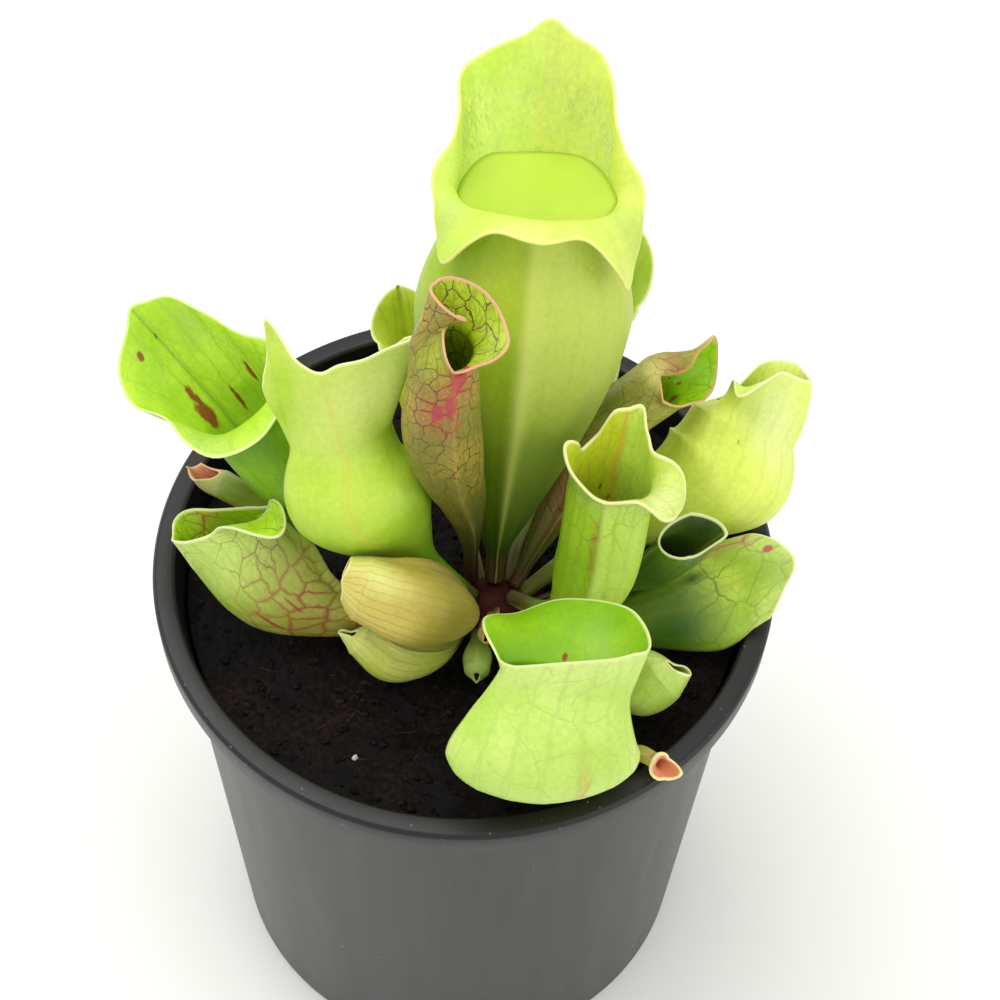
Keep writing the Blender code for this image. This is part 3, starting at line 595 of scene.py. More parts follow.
def marked(marks, kind, share, angle, run, girth, inner):
    """How strongly marks of a kind colour each point: 1 at a mark's middle, 0 at its edge."""
    made = np.zeros(share.shape)
    for named, at, degrees, long, wide, face in marks:
        if named != kind:
            continue
        row = np.argmin(np.abs(share[:, 0] - at))
        off = (np.degrees(angle) - degrees) % 360 - 180
        column = np.argmin(np.abs(off))
        across = off / 360 * girth[row]
        value = np.clip(MARK_CORE - np.hypot((run - run[row, column]) / long, across / wide), 0, 1)
        if face == "in":
            value = value * inner
        elif face == "out":
            value = value * (1 - inner)
        made = np.maximum(made, value)
    return made


def sheets(name):
    """Outer and inner face of a pitcher, the angle of each column and the way run from its foot."""
    shape, look = PLAIN | PITCHERS[name], PLAIN_LOOK | LOOKS[name]
    order = list(PITCHERS).index(name)
    tube_rows, hood_rows, columns = shape["grid"]
    blade = FINE_BLADE if shape["grid"] in (TINY, BUD) else BLADE
    body, winged, angle, directions = tube(shape, tube_rows, columns)
    top = hood(shape, body[-1], angle, directions, hood_rows)
    outer = np.concatenate([winged, top])
    plain = np.concatenate([body, top])
    step = np.linalg.norm(np.diff(outer, axis=0), axis=-1)
    run = np.concatenate([np.zeros((1, columns)), np.cumsum(step, axis=0)])
    edge = run[-1] - run
    grown = np.clip(run / SMOOTH_FOOT, 0, 1)
    relief = sum(wavy(plain, size, order + seed) * part for size, part, seed in SWELLS)
    relief = relief * look["swell"] * grown
    ruffle = wavy(plain, RUFFLE_SIZE, order + RUFFLE_SEED) * np.exp(-edge / RUFFLE_REACH)
    moved = (relief + ruffle * look["ruffle"])[..., None] * normals(plain)
    ribs = RIB_HEIGHT * np.abs(np.cos(angle * look["ribs"] / 2)) ** RIB_POWER * grown
    ribs = ribs * np.clip(edge / RIB_END, 0, 1)
    outer = outer + moved + ribs[..., None] * normals(plain)
    plain = plain + moved
    thick = blade * (1 + look["bead"] * np.exp(-edge / MARGIN_TAPER))
    return outer, plain - thick[..., None] * normals(plain), angle, run


def build_pitcher(name):
    """A pitcher: up its outer face, over the rounded margin and down its inner face."""
    shape, look = PLAIN | PITCHERS[name], PLAIN_LOOK | LOOKS[name]
    tube_rows, hood_rows, columns = shape["grid"]
    outer, inner, angle, run = sheets(name)
    rows = len(outer)
    edge = run[-1] - run
    share = np.concatenate([np.linspace(0, 1, tube_rows), 1 + np.linspace(0, 1, hood_rows + 1)[1:]])
    share = np.repeat(share[:, None], columns, axis=1)
    girth = np.linalg.norm(np.roll(outer, -1, 1) - outer, axis=-1).sum(1)
    first = int(np.ceil(SOLID_STALK * (tube_rows - 1)))
    middle, half = (outer[-1] + inner[-1]) / 2, (outer[-1] - inner[-1]) / 2
    forward = unit(outer[-1] - outer[-2]) * np.linalg.norm(half, axis=-1, keepdims=True)
    rim_shares = (0.25, 0.5, 0.75)
    rim = [middle + cos(pi * part) * half + sin(pi * part) * forward for part in rim_shares]
    places = np.concatenate([pole(outer[0]), outer, rim, inner[:first:-1], pole(inner[first + 1])])
    down = np.arange(rows - 1, first, -1)
    index = np.concatenate([[0], np.arange(rows), [rows - 1] * len(rim), down, [first + 1]])
    inside = np.concatenate([np.zeros(rows + 1), rim_shares, np.ones(len(down) + 1)])
    inside = np.repeat(inside[:, None], columns, axis=1)
    keel = np.exp(-((off_front(angle) / KEEL_SPREAD) ** 2))
    off_back = np.abs(angle - pi) * girth[:, None] / (2 * pi)
    points = {
        "edge": edge[index],
        "inside": inside,
        "share": share[index],
        "keel": np.repeat(keel[None], len(index), axis=0),
        "midrib": np.exp(-((off_back / MIDRIB_SPREAD) ** 2))[index],
        "side": np.repeat(np.sin(angle)[None], len(index), axis=0),
    }
    for kind in MARK_KINDS:
        points[kind] = marked(look["marks"], kind, share[index], angle, run[index], girth[index], inside)
    turn = np.arange(columns + 1) / columns - 0.5
    up = closed(run)[index] * MM
    leaf = np.stack([turn * girth[index][:, None] * MM, up], axis=-1)
    rib = np.stack([np.broadcast_to(turn, up.shape), up], axis=-1)
    piece = grid_piece(name + "_leaf", places, points, {"leaf": leaf, "rib": rib})
    dress(piece, name, leaf_material(name, look))


# Looks that a pitcher has unless it says otherwise. outer and inner: light and darker ground of
# each face. cell: width of a vein mesh, mm. long: its length over its width. line: half a vein,
# as a share of a cell. net, lengthwise: strength of the two kinds of vein. marks: kind, share
# along the leaf (1 is the mouth), degrees off the back, half length and half width in mm, face.
# swell and ruffle: height of the waves in the blade and its margin, mm. bead: how much thicker
# the margin is. lit_side, glow, root_red: how strong the painted light that makes one side paler,
# the painted glow of light through the thin outer margin and the red foot are. foot and
# foot_reach: the darker colour towards the foot and how far up it reaches, partly the base's own
# green and partly painted shade.
PLAIN_LOOK = dict(
    outer=("#C2DA54", "#93B828"), inner=("#A9D43E", "#79AE14"), foot="#6E7F1F", foot_reach=0.5,
    vein="#66752A", blush="#A9503A", spot="#8C2320", pale="#DDE79A", shade="#6E8A1E",
    margin="#DDE59A", margin_width=0.6, rib="#B9A23A", rib_strength=0.25, keel_strength=0.25,
    lit="#D3E07A", lit_side=0.0, glow=0.35, root_red=0.75, net=0.35, lengthwise=0.2, cell=4.6,
    long=1.7, line=0.045, ribs=16, fade=0.25, ruffle=0.4, swell=0.16, bead=-0.4, marks=(),
)  # fmt: skip

LOOKS = {
    "pitcher_tall": dict(
        # One side is painted paler as if lit, and its dark foot is partly painted shade.
        outer=("#BAD038", "#A6C624"), inner=("#D2E96C", "#C2DF50"), foot="#285206", foot_reach=1.15,
        lit="#D0DE60", lit_side=0.75, net=0.06, lengthwise=0.1, ribs=22, vein="#86A02C",
        margin="#DCE07C", margin_width=0.7, keel_strength=0.35, rib="#D9B03A", rib_strength=0.12,
        pale="#B8CE5C", bead=-0.2, spot="#D98A2E", glow=0.1,
        marks=(
            ("spot", 1.13, -2, 2.6, 0.35, "in"), ("pale", 1.5, 118, 8, 5, "both"),
            ("pale", 1.5, -114, 8, 5, "both"),
        ),
    ),
    "pitcher_left_hood": dict(
        outer=("#98C634", "#689818"), inner=("#C2E63E", "#9CCC16"), foot="#41681A", foot_reach=0.75,
        net=0.14, vein="#5A8414", margin="#D2E68C", margin_width=0.5, rib="#5C8A14", rib_strength=0.55,
        pale="#AED04E", spot="#8C2A20",
        marks=(
            ("spot", 1.0, 22, 4.5, 2.4, "in"), ("spot", 1.17, 17, 6.0, 0.9, "in"),
            ("spot", 1.07, -65, 4.2, 0.6, "in"), ("spot", 0.96, -28, 4.0, 0.6, "in"),
            ("spot", 1.81, 24, 1.2, 0.4, "in"), ("spot", 1.73, 0, 0.9, 0.3, "in"),
            ("pale", 1.6, 112, 9, 8, "both"), ("pale", 1.7, -35, 6, 5, "in"),
        ),
    ),
    "pitcher_eared": dict(
        outer=("#BEDA48", "#A2C82A"), inner=("#CCE068", "#A4CC32"), foot="#5E9C00", foot_reach=0.85,
        net=0.06, lengthwise=0.08, vein="#8FB030", margin="#E6EFA6", pale="#D2E274",
        rib="#D9B84A", rib_strength=0.3, marks=(("pale", 1.55, 25, 12, 20, "out"),),
    ),
    "pitcher_veined": dict(
        outer=("#B09A38", "#84802A"), inner=("#BED224", "#92AC14"), foot="#223C18", foot_reach=0.95,
        net=0.95, lengthwise=0.25, vein="#4E3026", cell=3.2, long=1.25, line=0.055, fade=0.6,
        blush="#C8323E", spot="#B03A48", margin="#D8A47C", margin_width=0.45, shade="#A2AC2E",
        keel_strength=0.1, swell=0.3, glow=0.0,
        marks=(
            ("spot", 0.98, -172, 6, 1.7, "out"), ("spot", 0.91, 176, 3.6, 1.5, "out"),
            ("spot", 0.88, 156, 3.2, 1.5, "out"), ("spot", 1.3, -158, 4, 0.8, "both"),
            ("flush", 0.95, -175, 8, 5, "out"), ("flush", 0.88, 158, 7, 6, "out"),
            ("shade", 1.3, 147, 7, 6, "out"),
        ),
    ),
    "pitcher_rear_left": dict(net=0.1, outer=("#DCE848", "#C4D838"), inner=("#CFDE40", "#B2C832")),
    "pitcher_rear_right": dict(net=0.08, outer=("#E6F0A0", "#CFE07C"), inner=("#C6DC58", "#A6C63A")),
    "pitcher_tan": dict(
        outer=("#C8B85A", "#AE9E42"), inner=("#D8CE7C", "#C2B854"), foot="#8E4A2C",
        net=0.08, lengthwise=0.4, ribs=26, vein="#94683A", margin="#E0D488", pale="#D6D67A",
        margin_width=0.5, marks=(("pale", 0.95, 129, 7, 6, "out"),),
    ),
    "pitcher_crescent": dict(outer=("#D6DA70", "#BEC848"), foot="#96A238", net=0.1, lengthwise=0.3),
    "pitcher_left_low": dict(
        outer=("#BED862", "#9EBC44"), inner=("#B2DC1C", "#8EBC0C"), foot="#B4743E", foot_reach=0.6,
        net=0.62, cell=3.2, vein="#6E4A2A", blush="#AC5438", margin="#DCE8A2",
        pale="#C6E070", spot="#A8443C",
        marks=(
            ("flush", 0.55, 110, 18, 14, "out"), ("flush", 0.5, 65, 18, 14, "out"),
            ("spot", 0.64, 62, 6.0, 0.5, "out"), ("flush", 1.84, -77, 6, 6, "in"),
            ("pale", 1.2, 100, 11, 9, "out"), ("spot", 0.6, 100, 4.0, 0.4, "out"),
        ),
    ),
    "pitcher_slim": dict(
        outer=("#8CA022", "#6E8412"), inner=("#EEB08A", "#DC9068"), foot="#A4602A", foot_reach=0.4,
        net=0.08, blush="#D88A66", margin="#E8B88E", margin_width=0.8,
        marks=(("flush", 1.7, -50, 7, 9, "both"), ("flush", 2.0, 33, 5, 6, "both")),
    ),
    "pitcher_rolled": dict(
        # One side is painted paler as if lit.
        outer=("#A4CC26", "#8AB612"), inner=("#D2D62C", "#B4C81E"), foot="#7C9A30", foot_reach=0.3,
        lit="#C0DE58", lit_side=0.7, net=0.36, vein="#64803A", cell=3.6, margin="#E2E69C",
        rib="#D9962E", rib_strength=0.6, blush="#C0703A", bead=-0.1, pale="#D6E08C",
        spot="#7A4A22",
        marks=(
            ("flush", 0.86, 172, 9, 1.2, "out"), ("pale", 1.5, -125, 6, 9, "both"),
            ("spot", 0.91, 17, 0.8, 0.45, "in"), ("spot", 0.88, 3, 0.7, 0.4, "in"),
        ),
    ),
    "pitcher_right_large": dict(
        outer=("#E2F06E", "#CCE048"), inner=("#E6F47C", "#CCE456"), foot="#A2C80E", foot_reach=0.6,
        net=0.12, vein="#AEB840", cell=5.4, margin="#E6EAA6", pale="#DCE890",
        spot="#B5732E", keel_strength=0.3, glow=0.12,
        marks=(("spot", 0.94, -99, 1.4, 0.4, "out"), ("pale", 1.3, -70, 12, 9, "out")),
    ),
    "pitcher_right_small": dict(
        outer=("#5A7A1E", "#3A5816"), inner=("#4C6A1C", "#304616"), foot="#344A14", net=0.15, glow=0.0,
        margin="#D4DA9C", vein="#2E4412",
    ),
    "pitcher_right_broad": dict(
        # Its shade marks are painted shadow from the pitcher in front, and its dark foot is partly
        # painted shade.
        outer=("#C8DE50", "#8CB222"), inner=("#A2C23A", "#7C9E22"), foot="#2A540E", foot_reach=1.1,
        rib_strength=0.08, net=0.65, vein="#4A641E", long=1.6, line=0.04, margin="#D6E096",
        margin_width=0.5, blush="#B46A50", spot="#B04A3C", shade="#3A6014",
        marks=(
            ("flush", 1.3, -60, 14, 2.2, "out"), ("spot", 1.78, -28, 1.5, 0.9, "out"),
            ("shade", 0.62, 25, 12, 9, "out"), ("shade", 0.76, -29, 4, 1.5, "out"),
        ),
    ),
    "pitcher_right_low": dict(
        outer=("#C6DC6C", "#A4C442"), inner=("#C8DB6E", "#A8C248"), foot="#86A82E", net=0.25,
        margin="#E4ECA6", glow=0.2,
    ),
    "pitcher_front": dict(
        outer=("#C2DC6E", "#AED052"), inner=("#9ACC1A", "#7CB40C"), foot="#6A8A24", foot_reach=0.3,
        net=0.32, vein="#86A64E", cell=7.0, long=1.3, line=0.026, fade=0.2, margin="#D6E296",
        margin_width=0.5, spot="#8E3A24", rib="#B5C04A", blush="#D08A5A",
        marks=(
            ("spot", 1.1, 90, 1.2, 0.6, "in"), ("spot", 1.05, 72, 1.0, 0.5, "in"),
            ("flush", 0.74, -70, 9, 1.3, "out"),
        ),
    ),
    "pitcher_spotted": dict(
        outer=("#BCC056", "#868E34"), inner=("#B4E210", "#94C806"), foot="#4A5C10", foot_reach=0.9,
        net=0.8, vein="#5A3E26", cell=3.2, line=0.05, margin="#D8A86C",
        blush="#C0705A", spot="#9A3A2A", pale="#CCC46E",
        marks=(
            ("flush", 0.5, 150, 14, 9, "out"), ("spot", 0.99, -70, 2.0, 0.9, "in"),
            ("spot", 1.1, -45, 1.0, 0.5, "in"), ("spot", 1.05, -25, 0.9, 0.4, "in"),
            ("flush", 1.8, 80, 5, 7, "out"), ("pale", 1.4, 110, 8, 8, "out"),
        ),
    ),
    "seedling_at_rim": dict(
        outer=("#C8BC5A", "#A8A83C"), inner=("#E08A68", "#CC6450"), net=0.03, glow=0.1,
        margin="#F0DDA6", blush="#E0937A", marks=(("flush", 1.5, 150, 3, 4, "both"),),
    ),
    "bud_green": dict(
        outer=("#9CC236", "#76982C"), inner=("#76982A", "#56761C"), foot="#6A8A24", net=0.1,
        margin="#A8BC54",
    ),
    "bud_yellow": dict(
        outer=("#C8983E", "#A2702C"), inner=("#A8702E", "#7E4A22"), foot="#7A3A22", net=0.1,
        margin="#C9A052",
    ),
}  # fmt: skip

# Patterns of every leaf, mm: size of the light and dark patches and of the skin's grain, each
# with its detail, then size of the bends of a vein and how far they push it
LEAF_PATTERNS = ((15, 3), (1.1, 2))
VEIN_BENDS = ((4.0, 2.2), (1.3, 0.7))
FINER = 2.3  # how much finer the second net is
LONG_VEIN_SWAY = (0.03, 0.0, 0.0)  # as a share of the way round
ROOT_RED = "#4E1F1A"

# Other patterns, mm and detail. Dust and peat crumbs are drawn coarser than real ones, to show.
POT_FADING, POT_DUST, POT_STREAKS = (35.7, 4), (1.11, 1), (6.25, 3)
STREAK_SHRINK = 0.08  # makes a streak of the mould that much longer down the wall
DUST_COLOUR = "#B5AFA6"
PEAT_PATCHES, PEAT_CRUMBS = (16.7, 4), (1.11, 3)
PERLITE_PORES = (0.4, 2)
CROWN_FLESH = (4.55, 3)
WATER_FILM = (11.1, 2)
HAIR_TONES = (3.33, 2)
FLOOR_CLOUDS = (167, 3)


def leaf_material(name, look):
    """Pitcher plant leaf: waxy, thin enough for light to glow through, with a net of veins,
    a paler thick margin and red pigment in blotches and along the veins. A paler lit side, shade
    towards the foot and a glow of light near the outer margin are painted into the colour."""
    material, tree, shader = new_material(name.replace("pitcher", "leaf"))
    read = {
        title: add(tree, "ShaderNodeAttribute", out=2, attribute_name=title) for title in LEAF_VALUES
    }
    place = add(tree, "ShaderNodeTexCoord", out=3)
    leaf, rib = (add(tree, "ShaderNodeUVMap", uv_map=title) for title in ("leaf", "rib"))
    cloud, grain = (
        add(tree, "ShaderNodeTexNoise", {"Vector": place, "Scale": per_metre(size), "Detail": detail})
        for size, detail in LEAF_PATTERNS
    )
    bends, drift = [], leaf
    for size, way in VEIN_BENDS:
        waves = {"Vector": leaf, "Scale": per_metre(size), "Detail": 2}
        bends.append(add(tree, "ShaderNodeTexNoise", waves, out=1))
        push = {0: bends[-1], 1: (way * MM, way * MM, 0.0), 2: drift}
        drift = add(tree, "ShaderNodeVectorMath", push, operation="MULTIPLY_ADD")
    # Two nets of veins, their cells longer along the leaf than across it.
    drawn = add(tree, "ShaderNodeMapping", {"Vector": drift, "Scale": (1.0, 1 / look["long"], 1.0)})
    net, fine_net = (
        add(tree, "ShaderNodeTexVoronoi", {"Vector": drawn, "Scale": scale}, **CELL_EDGES)
        for scale in (per_metre(look["cell"]), per_metre(look["cell"]) * FINER)
    )
    # Long veins that run up the leaf.
    push = {0: bends[0], 1: LONG_VEIN_SWAY, 2: rib}
    sway = add(tree, "ShaderNodeVectorMath", push, operation="MULTIPLY_ADD")
    wave = add(tree, "ShaderNodeSeparateXYZ", {0: sway})
    for operation, other in (("MULTIPLY", look["ribs"] * pi), ("COSINE", 0), ("ABSOLUTE", 0)):
        wave = add(tree, "ShaderNodeMath", {0: wave, 1: other}, operation=operation)
    # Red blotches get a ragged edge from the bends of the veins.
    ragged = add(tree, "ShaderNodeMath", {0: bends[0], 1: bends[1]}, operation="ADD")
    ragged = add(tree, "ShaderNodeMath", {0: ragged, 1: 1.0}, operation="SUBTRACT")
    ragged = add(tree, "ShaderNodeMath", {0: ragged, 1: 0.7, 2: read["spot"]}, operation="MULTIPLY_ADD")
    # Soft steps: where each starts, where it is complete, and how strong it then is.
    line = look["line"]
    soft = {}
    for title, value, start, end, top in (
        ("line", net, line, line * 0.35, 1),
        ("halo", net, line * 4, 0, 1),
        ("fine line", fine_net, line * 1.5, line * 0.5, 0.45),
        ("long line", wave, 0.93, 0.995, look["lengthwise"]),
        ("tone", cloud, 0.3, 0.7, 1),
        # painted light: one side of the leaf paler, as if lit
        ("lit", read["side"], -0.15, 0.15, look["lit_side"]),
        # darker towards the foot, partly the leaf's own tone and partly painted shade
        ("foot", read["share"], look["foot_reach"], 0.05, 1),
        ("root", read["share"], 0.26, 0.06, look["root_red"]),
        # painted glow of light through the thin margin, on the outer face
        ("glow", read["edge"], 9, 0, look["glow"]),
        ("brim", read["edge"], look["margin_width"], 0.15, 1),
        ("blotch", ragged, 0.2, 0.6, 0.9),
    ):
        step = {"Value": value, "From Min": start, "From Max": end, "To Max": top}
        soft[title] = add(tree, "ShaderNodeMapRange", step, **SOFT)
    flushed = add(tree, "ShaderNodeMath", {0: read["flush"], 1: 0.9}, operation="MULTIPLY")
    strength = add(tree, "ShaderNodeMath", {0: flushed, 1: look["net"]}, operation="MAXIMUM")
    patchy = {"Value": cloud, "From Min": 0.32, "From Max": 0.62, "To Min": look["fade"]}
    fade = add(tree, "ShaderNodeMapRange", patchy)
    veins = soft["line"]
    for operation, other in (
        ("MAXIMUM", soft["fine line"]), ("MULTIPLY", strength),
        ("MAXIMUM", soft["long line"]), ("MULTIPLY", fade),
    ):  # fmt: skip
        veins = add(tree, "ShaderNodeMath", {0: veins, 1: other}, operation=operation)
    # Ground colour: outer and inner face, each from a light to a darker tone.
    outside, within = (
        add(tree, "ShaderNodeMix", {0: soft["tone"], 6: linear(dark), 7: linear(light)}, **COLOUR)
        for light, dark in (look["outer"], look["inner"])
    )
    colour = add(tree, "ShaderNodeMix", {0: read["inside"], 6: outside, 7: within}, **COLOUR)
    # Painted light and shade over the ground colour: the paler lit side, painted shade towards the foot
    # and the painted glow of light near the outer margin, then the pale and shade marks.
    outer_side = add(tree, "ShaderNodeMath", {0: 1.0, 1: read["inside"]}, operation="SUBTRACT")
    glow = add(tree, "ShaderNodeMath", {0: soft["glow"], 1: outer_side}, operation="MULTIPLY")
    for share, over in (
        (soft["lit"], look["lit"]), (soft["foot"], look["foot"]), (soft["root"], ROOT_RED),
        (glow, look["pale"]), (read["pale"], look["pale"]), (read["shade"], look["shade"]),
    ):  # fmt: skip
        colour = add(tree, "ShaderNodeMix", {0: share, 6: colour, 7: linear(over)}, **COLOUR)
    specks = {"Value": grain, "From Min": 0.3, "From Max": 0.7, "To Min": 0.95, "To Max": 1.05}
    speckle = add(tree, "ShaderNodeMapRange", specks)
    under = {0: 1.0, 6: colour, 7: speckle}
    colour = add(tree, "ShaderNodeMix", under, blend_type="MULTIPLY", **COLOUR)
    # Red pigment gathers round the veins of a flushed part, and the margin lies over all.
    tint = add(tree, "ShaderNodeMath", {0: soft["halo"], 1: 0.55, 2: 0.3}, operation="MULTIPLY_ADD")
    tint, midrib, keel = (
        add(tree, "ShaderNodeMath", {0: value, 1: part}, operation="MULTIPLY")
        for value, part in (
            (tint, read["flush"]), (read["midrib"], look["rib_strength"]),
            (read["keel"], look["keel_strength"]),
        )
    )  # fmt: skip
    for share, over in (
        (tint, "blush"), (veins, "vein"), (soft["blotch"], "spot"), (midrib, "rib"),
        (keel, "margin"), (soft["brim"], "margin"),
    ):  # fmt: skip
        colour = add(tree, "ShaderNodeMix", {0: share, 6: colour, 7: linear(look[over])}, **COLOUR)
    # Veins stand up a little between faint swellings, under a satin wax.
    relief = veins
    for value, part in ((grain, 0.25), (soft["halo"], -0.6)):
        relief = add(tree, "ShaderNodeMath", {0: value, 1: part, 2: relief}, operation="MULTIPLY_ADD")
    dents = {"Height": relief, "Strength": 0.45, "Distance": 0.1 * MM}
    wax = {"Value": grain, "From Min": 0.3, "From Max": 0.7, "To Min": 0.36, "To Max": 0.5}
    wire(tree, shader, {
        "Base Color": colour,
        "Normal": add(tree, "ShaderNodeBump", dents),
        "Roughness": add(tree, "ShaderNodeMapRange", wax),
        "IOR": 1.42,
        "Subsurface Weight": 0.12,
        "Subsurface Radius": (0.9, 1.0, 0.25),
        "Subsurface Scale": 1.4 * MM,
    })  # fmt: skip
    return material


def pot_material(settings):
    """Polypropylene, injection moulded: satin black with dust and faint streaks down the wall."""
    material, tree, shader = new_material("moulded_black_polypropylene")
    place = add(tree, "ShaderNodeTexCoord", out=3)
    upright = add(tree, "ShaderNodeMapping", {"Vector": place, "Scale": (1.0, 1.0, STREAK_SHRINK)})
    cloud, dust, streak = (
        add(tree, "ShaderNodeTexNoise", {"Vector": vector, "Scale": per_metre(size), "Detail": detail})
        for vector, (size, detail) in ((place, POT_FADING), (place, POT_DUST), (upright, POT_STREAKS))
    )
    tone = add(tree, "ShaderNodeMapRange", {"Value": cloud, "From Min": 0.35, "From Max": 0.7})
    flecks = {"Value": dust, "From Min": 0.74, "From Max": 0.8, "To Max": 0.3}
    flecks = add(tree, "ShaderNodeMapRange", flecks, **SOFT)
    plain = (*settings.colour, 1.0)
    faded = (*(min(part * 1.4, 1.0) for part in settings.colour), 1.0)
    colour = add(tree, "ShaderNodeMix", {0: tone, 6: plain, 7: faded}, **COLOUR)
    colour = add(tree, "ShaderNodeMix", {0: flecks, 6: colour, 7: linear(DUST_COLOUR)}, **COLOUR)
    satin = {"Value": streak, "From Min": 0.3, "From Max": 0.7, "To Min": 0.38, "To Max": 0.42}
    dents = {"Height": streak, "Strength": 0.08, "Distance": 0.04 * MM}
    wire(tree, shader, {
        "Base Color": colour,
        "Roughness": add(tree, "ShaderNodeMapRange", satin),
        "Normal": add(tree, "ShaderNodeBump", dents),
        "IOR": 1.49,
        "Specular IOR Level": 0.42,
    })  # fmt: skip
    return material


def peat_material(name, light, dark):
    """Sphagnum peat: damp, crumbly and almost black, with browner dry crumbs."""
    material, tree, shader = new_material(name)
    place = add(tree, "ShaderNodeTexCoord", out=3)
    patch, crumb = (
        add(tree, "ShaderNodeTexNoise", {"Vector": place, "Scale": per_metre(size), "Detail": detail})
        for size, detail in (PEAT_PATCHES, PEAT_CRUMBS)
    )
    dry = add(tree, "ShaderNodeMath", {0: patch, 1: crumb}, operation="MULTIPLY")
    dry = add(tree, "ShaderNodeMapRange", {"Value": dry, "From Min": 0.24, "From Max": 0.4})
    dents = {"Height": crumb, "Strength": 0.6, "Distance": 0.3 * MM}
    wire(tree, shader, {
        "Base Color": add(tree, "ShaderNodeMix", {0: dry, 6: linear(dark), 7: linear(light)}, **COLOUR),
        "Roughness": add(tree, "ShaderNodeMapRange", {"Value": patch, "To Min": 0.55}),
        "Normal": add(tree, "ShaderNodeBump", dents),
        "Specular IOR Level": 0.15,
    })  # fmt: skip
    return material


def speck_material():
    """Perlite: a pale, chalky volcanic glass, in a few small grains."""
    return mottled("perlite", PERLITE_PORES, "#8E8678", "#F2EEE4", fixed={"Roughness": 0.9})


def crown_material():
    """Living growing point: dark red, fleshy and mottled, with a dull skin."""
    fleshy = {"Roughness": 0.6, "Specular IOR Level": 0.2}
    return mottled("crown_flesh", CROWN_FLESH, "#230706", "#521C14", (0.5, 0.2), fleshy)


def water_material():
    """Rain water over a lime green wall: still and mirror smooth, with a faint film."""
    still = {"Roughness": 0.04, "IOR": 1.33}
    return mottled("rain_water", WATER_FILM, "#A9C832", "#BED650", (0.08, 0.4), still)


def hair_material():
    """Stiff plant hair: nearly clear, so it reads as pale threads over the green."""
    return mottled("leaf_hair", HAIR_TONES, "#BFD56C", "#E2EDA4", fixed={"Roughness": 0.35})


def pot_profile():
    """Radius and height of each turn of the pot's outline, mm: underside, wall, rim, inside."""
    skirt = RIM_PLANE - SKIRT_DROP
    under_rim = RIM_PLANE - SKIRT_WALL
    skirt_bore = RIM_RADIUS - SKIRT_WALL
    ring_top = skirt - RING_GAP
    ring_low = ring_top - RING_HEIGHT
    ring = BODY_TOP_RADIUS + RING_OUT
    return [
        (BASE_RADIUS - BASE_ROUND[0], 0), (BASE_RADIUS, BASE_ROUND[1]),
        (BODY_TOP_RADIUS, ring_low - RING_SLOPE),
        (ring, ring_low), (ring, ring_top), (NECK_RADIUS, ring_top + RING_SLOPE),
        (NECK_RADIUS, under_rim), (skirt_bore, under_rim), (skirt_bore + SKIRT_DRAFT, skirt),
        (RIM_RADIUS - RIM_TOE, skirt), (RIM_RADIUS, RIM_PLANE - RIM_ROUND[1]),
        (RIM_RADIUS - RIM_ROUND[0], RIM_PLANE), (RIM_BORE + BORE_ROUND, RIM_PLANE),
        (RIM_BORE, RIM_PLANE - BORE_ROUND), (BODY_TOP_RADIUS - WALL, ring_low - RING_SLOPE),
        (BASE_RADIUS - WALL, FLOOR),
    ]  # fmt: skip


class PotSettings(bpy.types.PropertyGroup):
    colour: FloatVectorProperty(
        name="Plastic", description="Colour of the moulded pot", subtype="COLOR", size=3,
        default=linear("#131213")[:3], min=0, max=1,
    )  # fmt: skip
    sides: IntProperty(name="Sides", description="Faces around the pot", default=192, min=24)
    edge_round: FloatProperty(
        name="Edge rounding", description="Rounding of every moulded edge", default=0.25 * MM,
        unit="LENGTH",
    )  # fmt: skip


class SoilSettings(bpy.types.PropertyGroup):
    crumbs: IntProperty(name="Crumbs", description="Loose peat crumbs", default=1500, min=0)
    fibres: IntProperty(name="Fibres", description="Loose peat fibres", default=180, min=0)
    grains: IntProperty(name="Grains", description="Pale perlite grains", default=26, min=0)
    roughness: FloatProperty(
        name="Relief", description="Height of the surface's fine crumb", default=0.9 * MM,
        unit="LENGTH",
    )  # fmt: skip


class LeafSettings(bpy.types.PropertyGroup):
    hairs: IntProperty(
        name="Hairs", description="Hairs inside the tallest hood", default=1500, min=0
    )
    hair_length: FloatProperty(
        name="Hair length", description="Length of a hood's hairs", default=1.3 * MM, unit="LENGTH"
    )
    hair_width: FloatProperty(
        name="Hair width", description="Half width of a hair at its root", default=0.045 * MM,
        unit="LENGTH",
    )  # fmt: skip


class StageSettings(bpy.types.PropertyGroup):
    floor: FloatVectorProperty(
        name="Floor", description="Colour of the floor", subtype="COLOR", size=3,
        default=linear("#F4F4F0")[:3], min=0, max=1,
    )  # fmt: skip
    surround: FloatProperty(
        name="Surround", description="Strength of the even light all round", default=0.98
    )
    key: FloatProperty(
        name="Key light", description="Power of the soft light overhead", default=4.0, unit="POWER"
    )
    fill: FloatProperty(
        name="Fill light", description="Power of the soft light at the side", default=1.5,
        unit="POWER",
    )  # fmt: skip


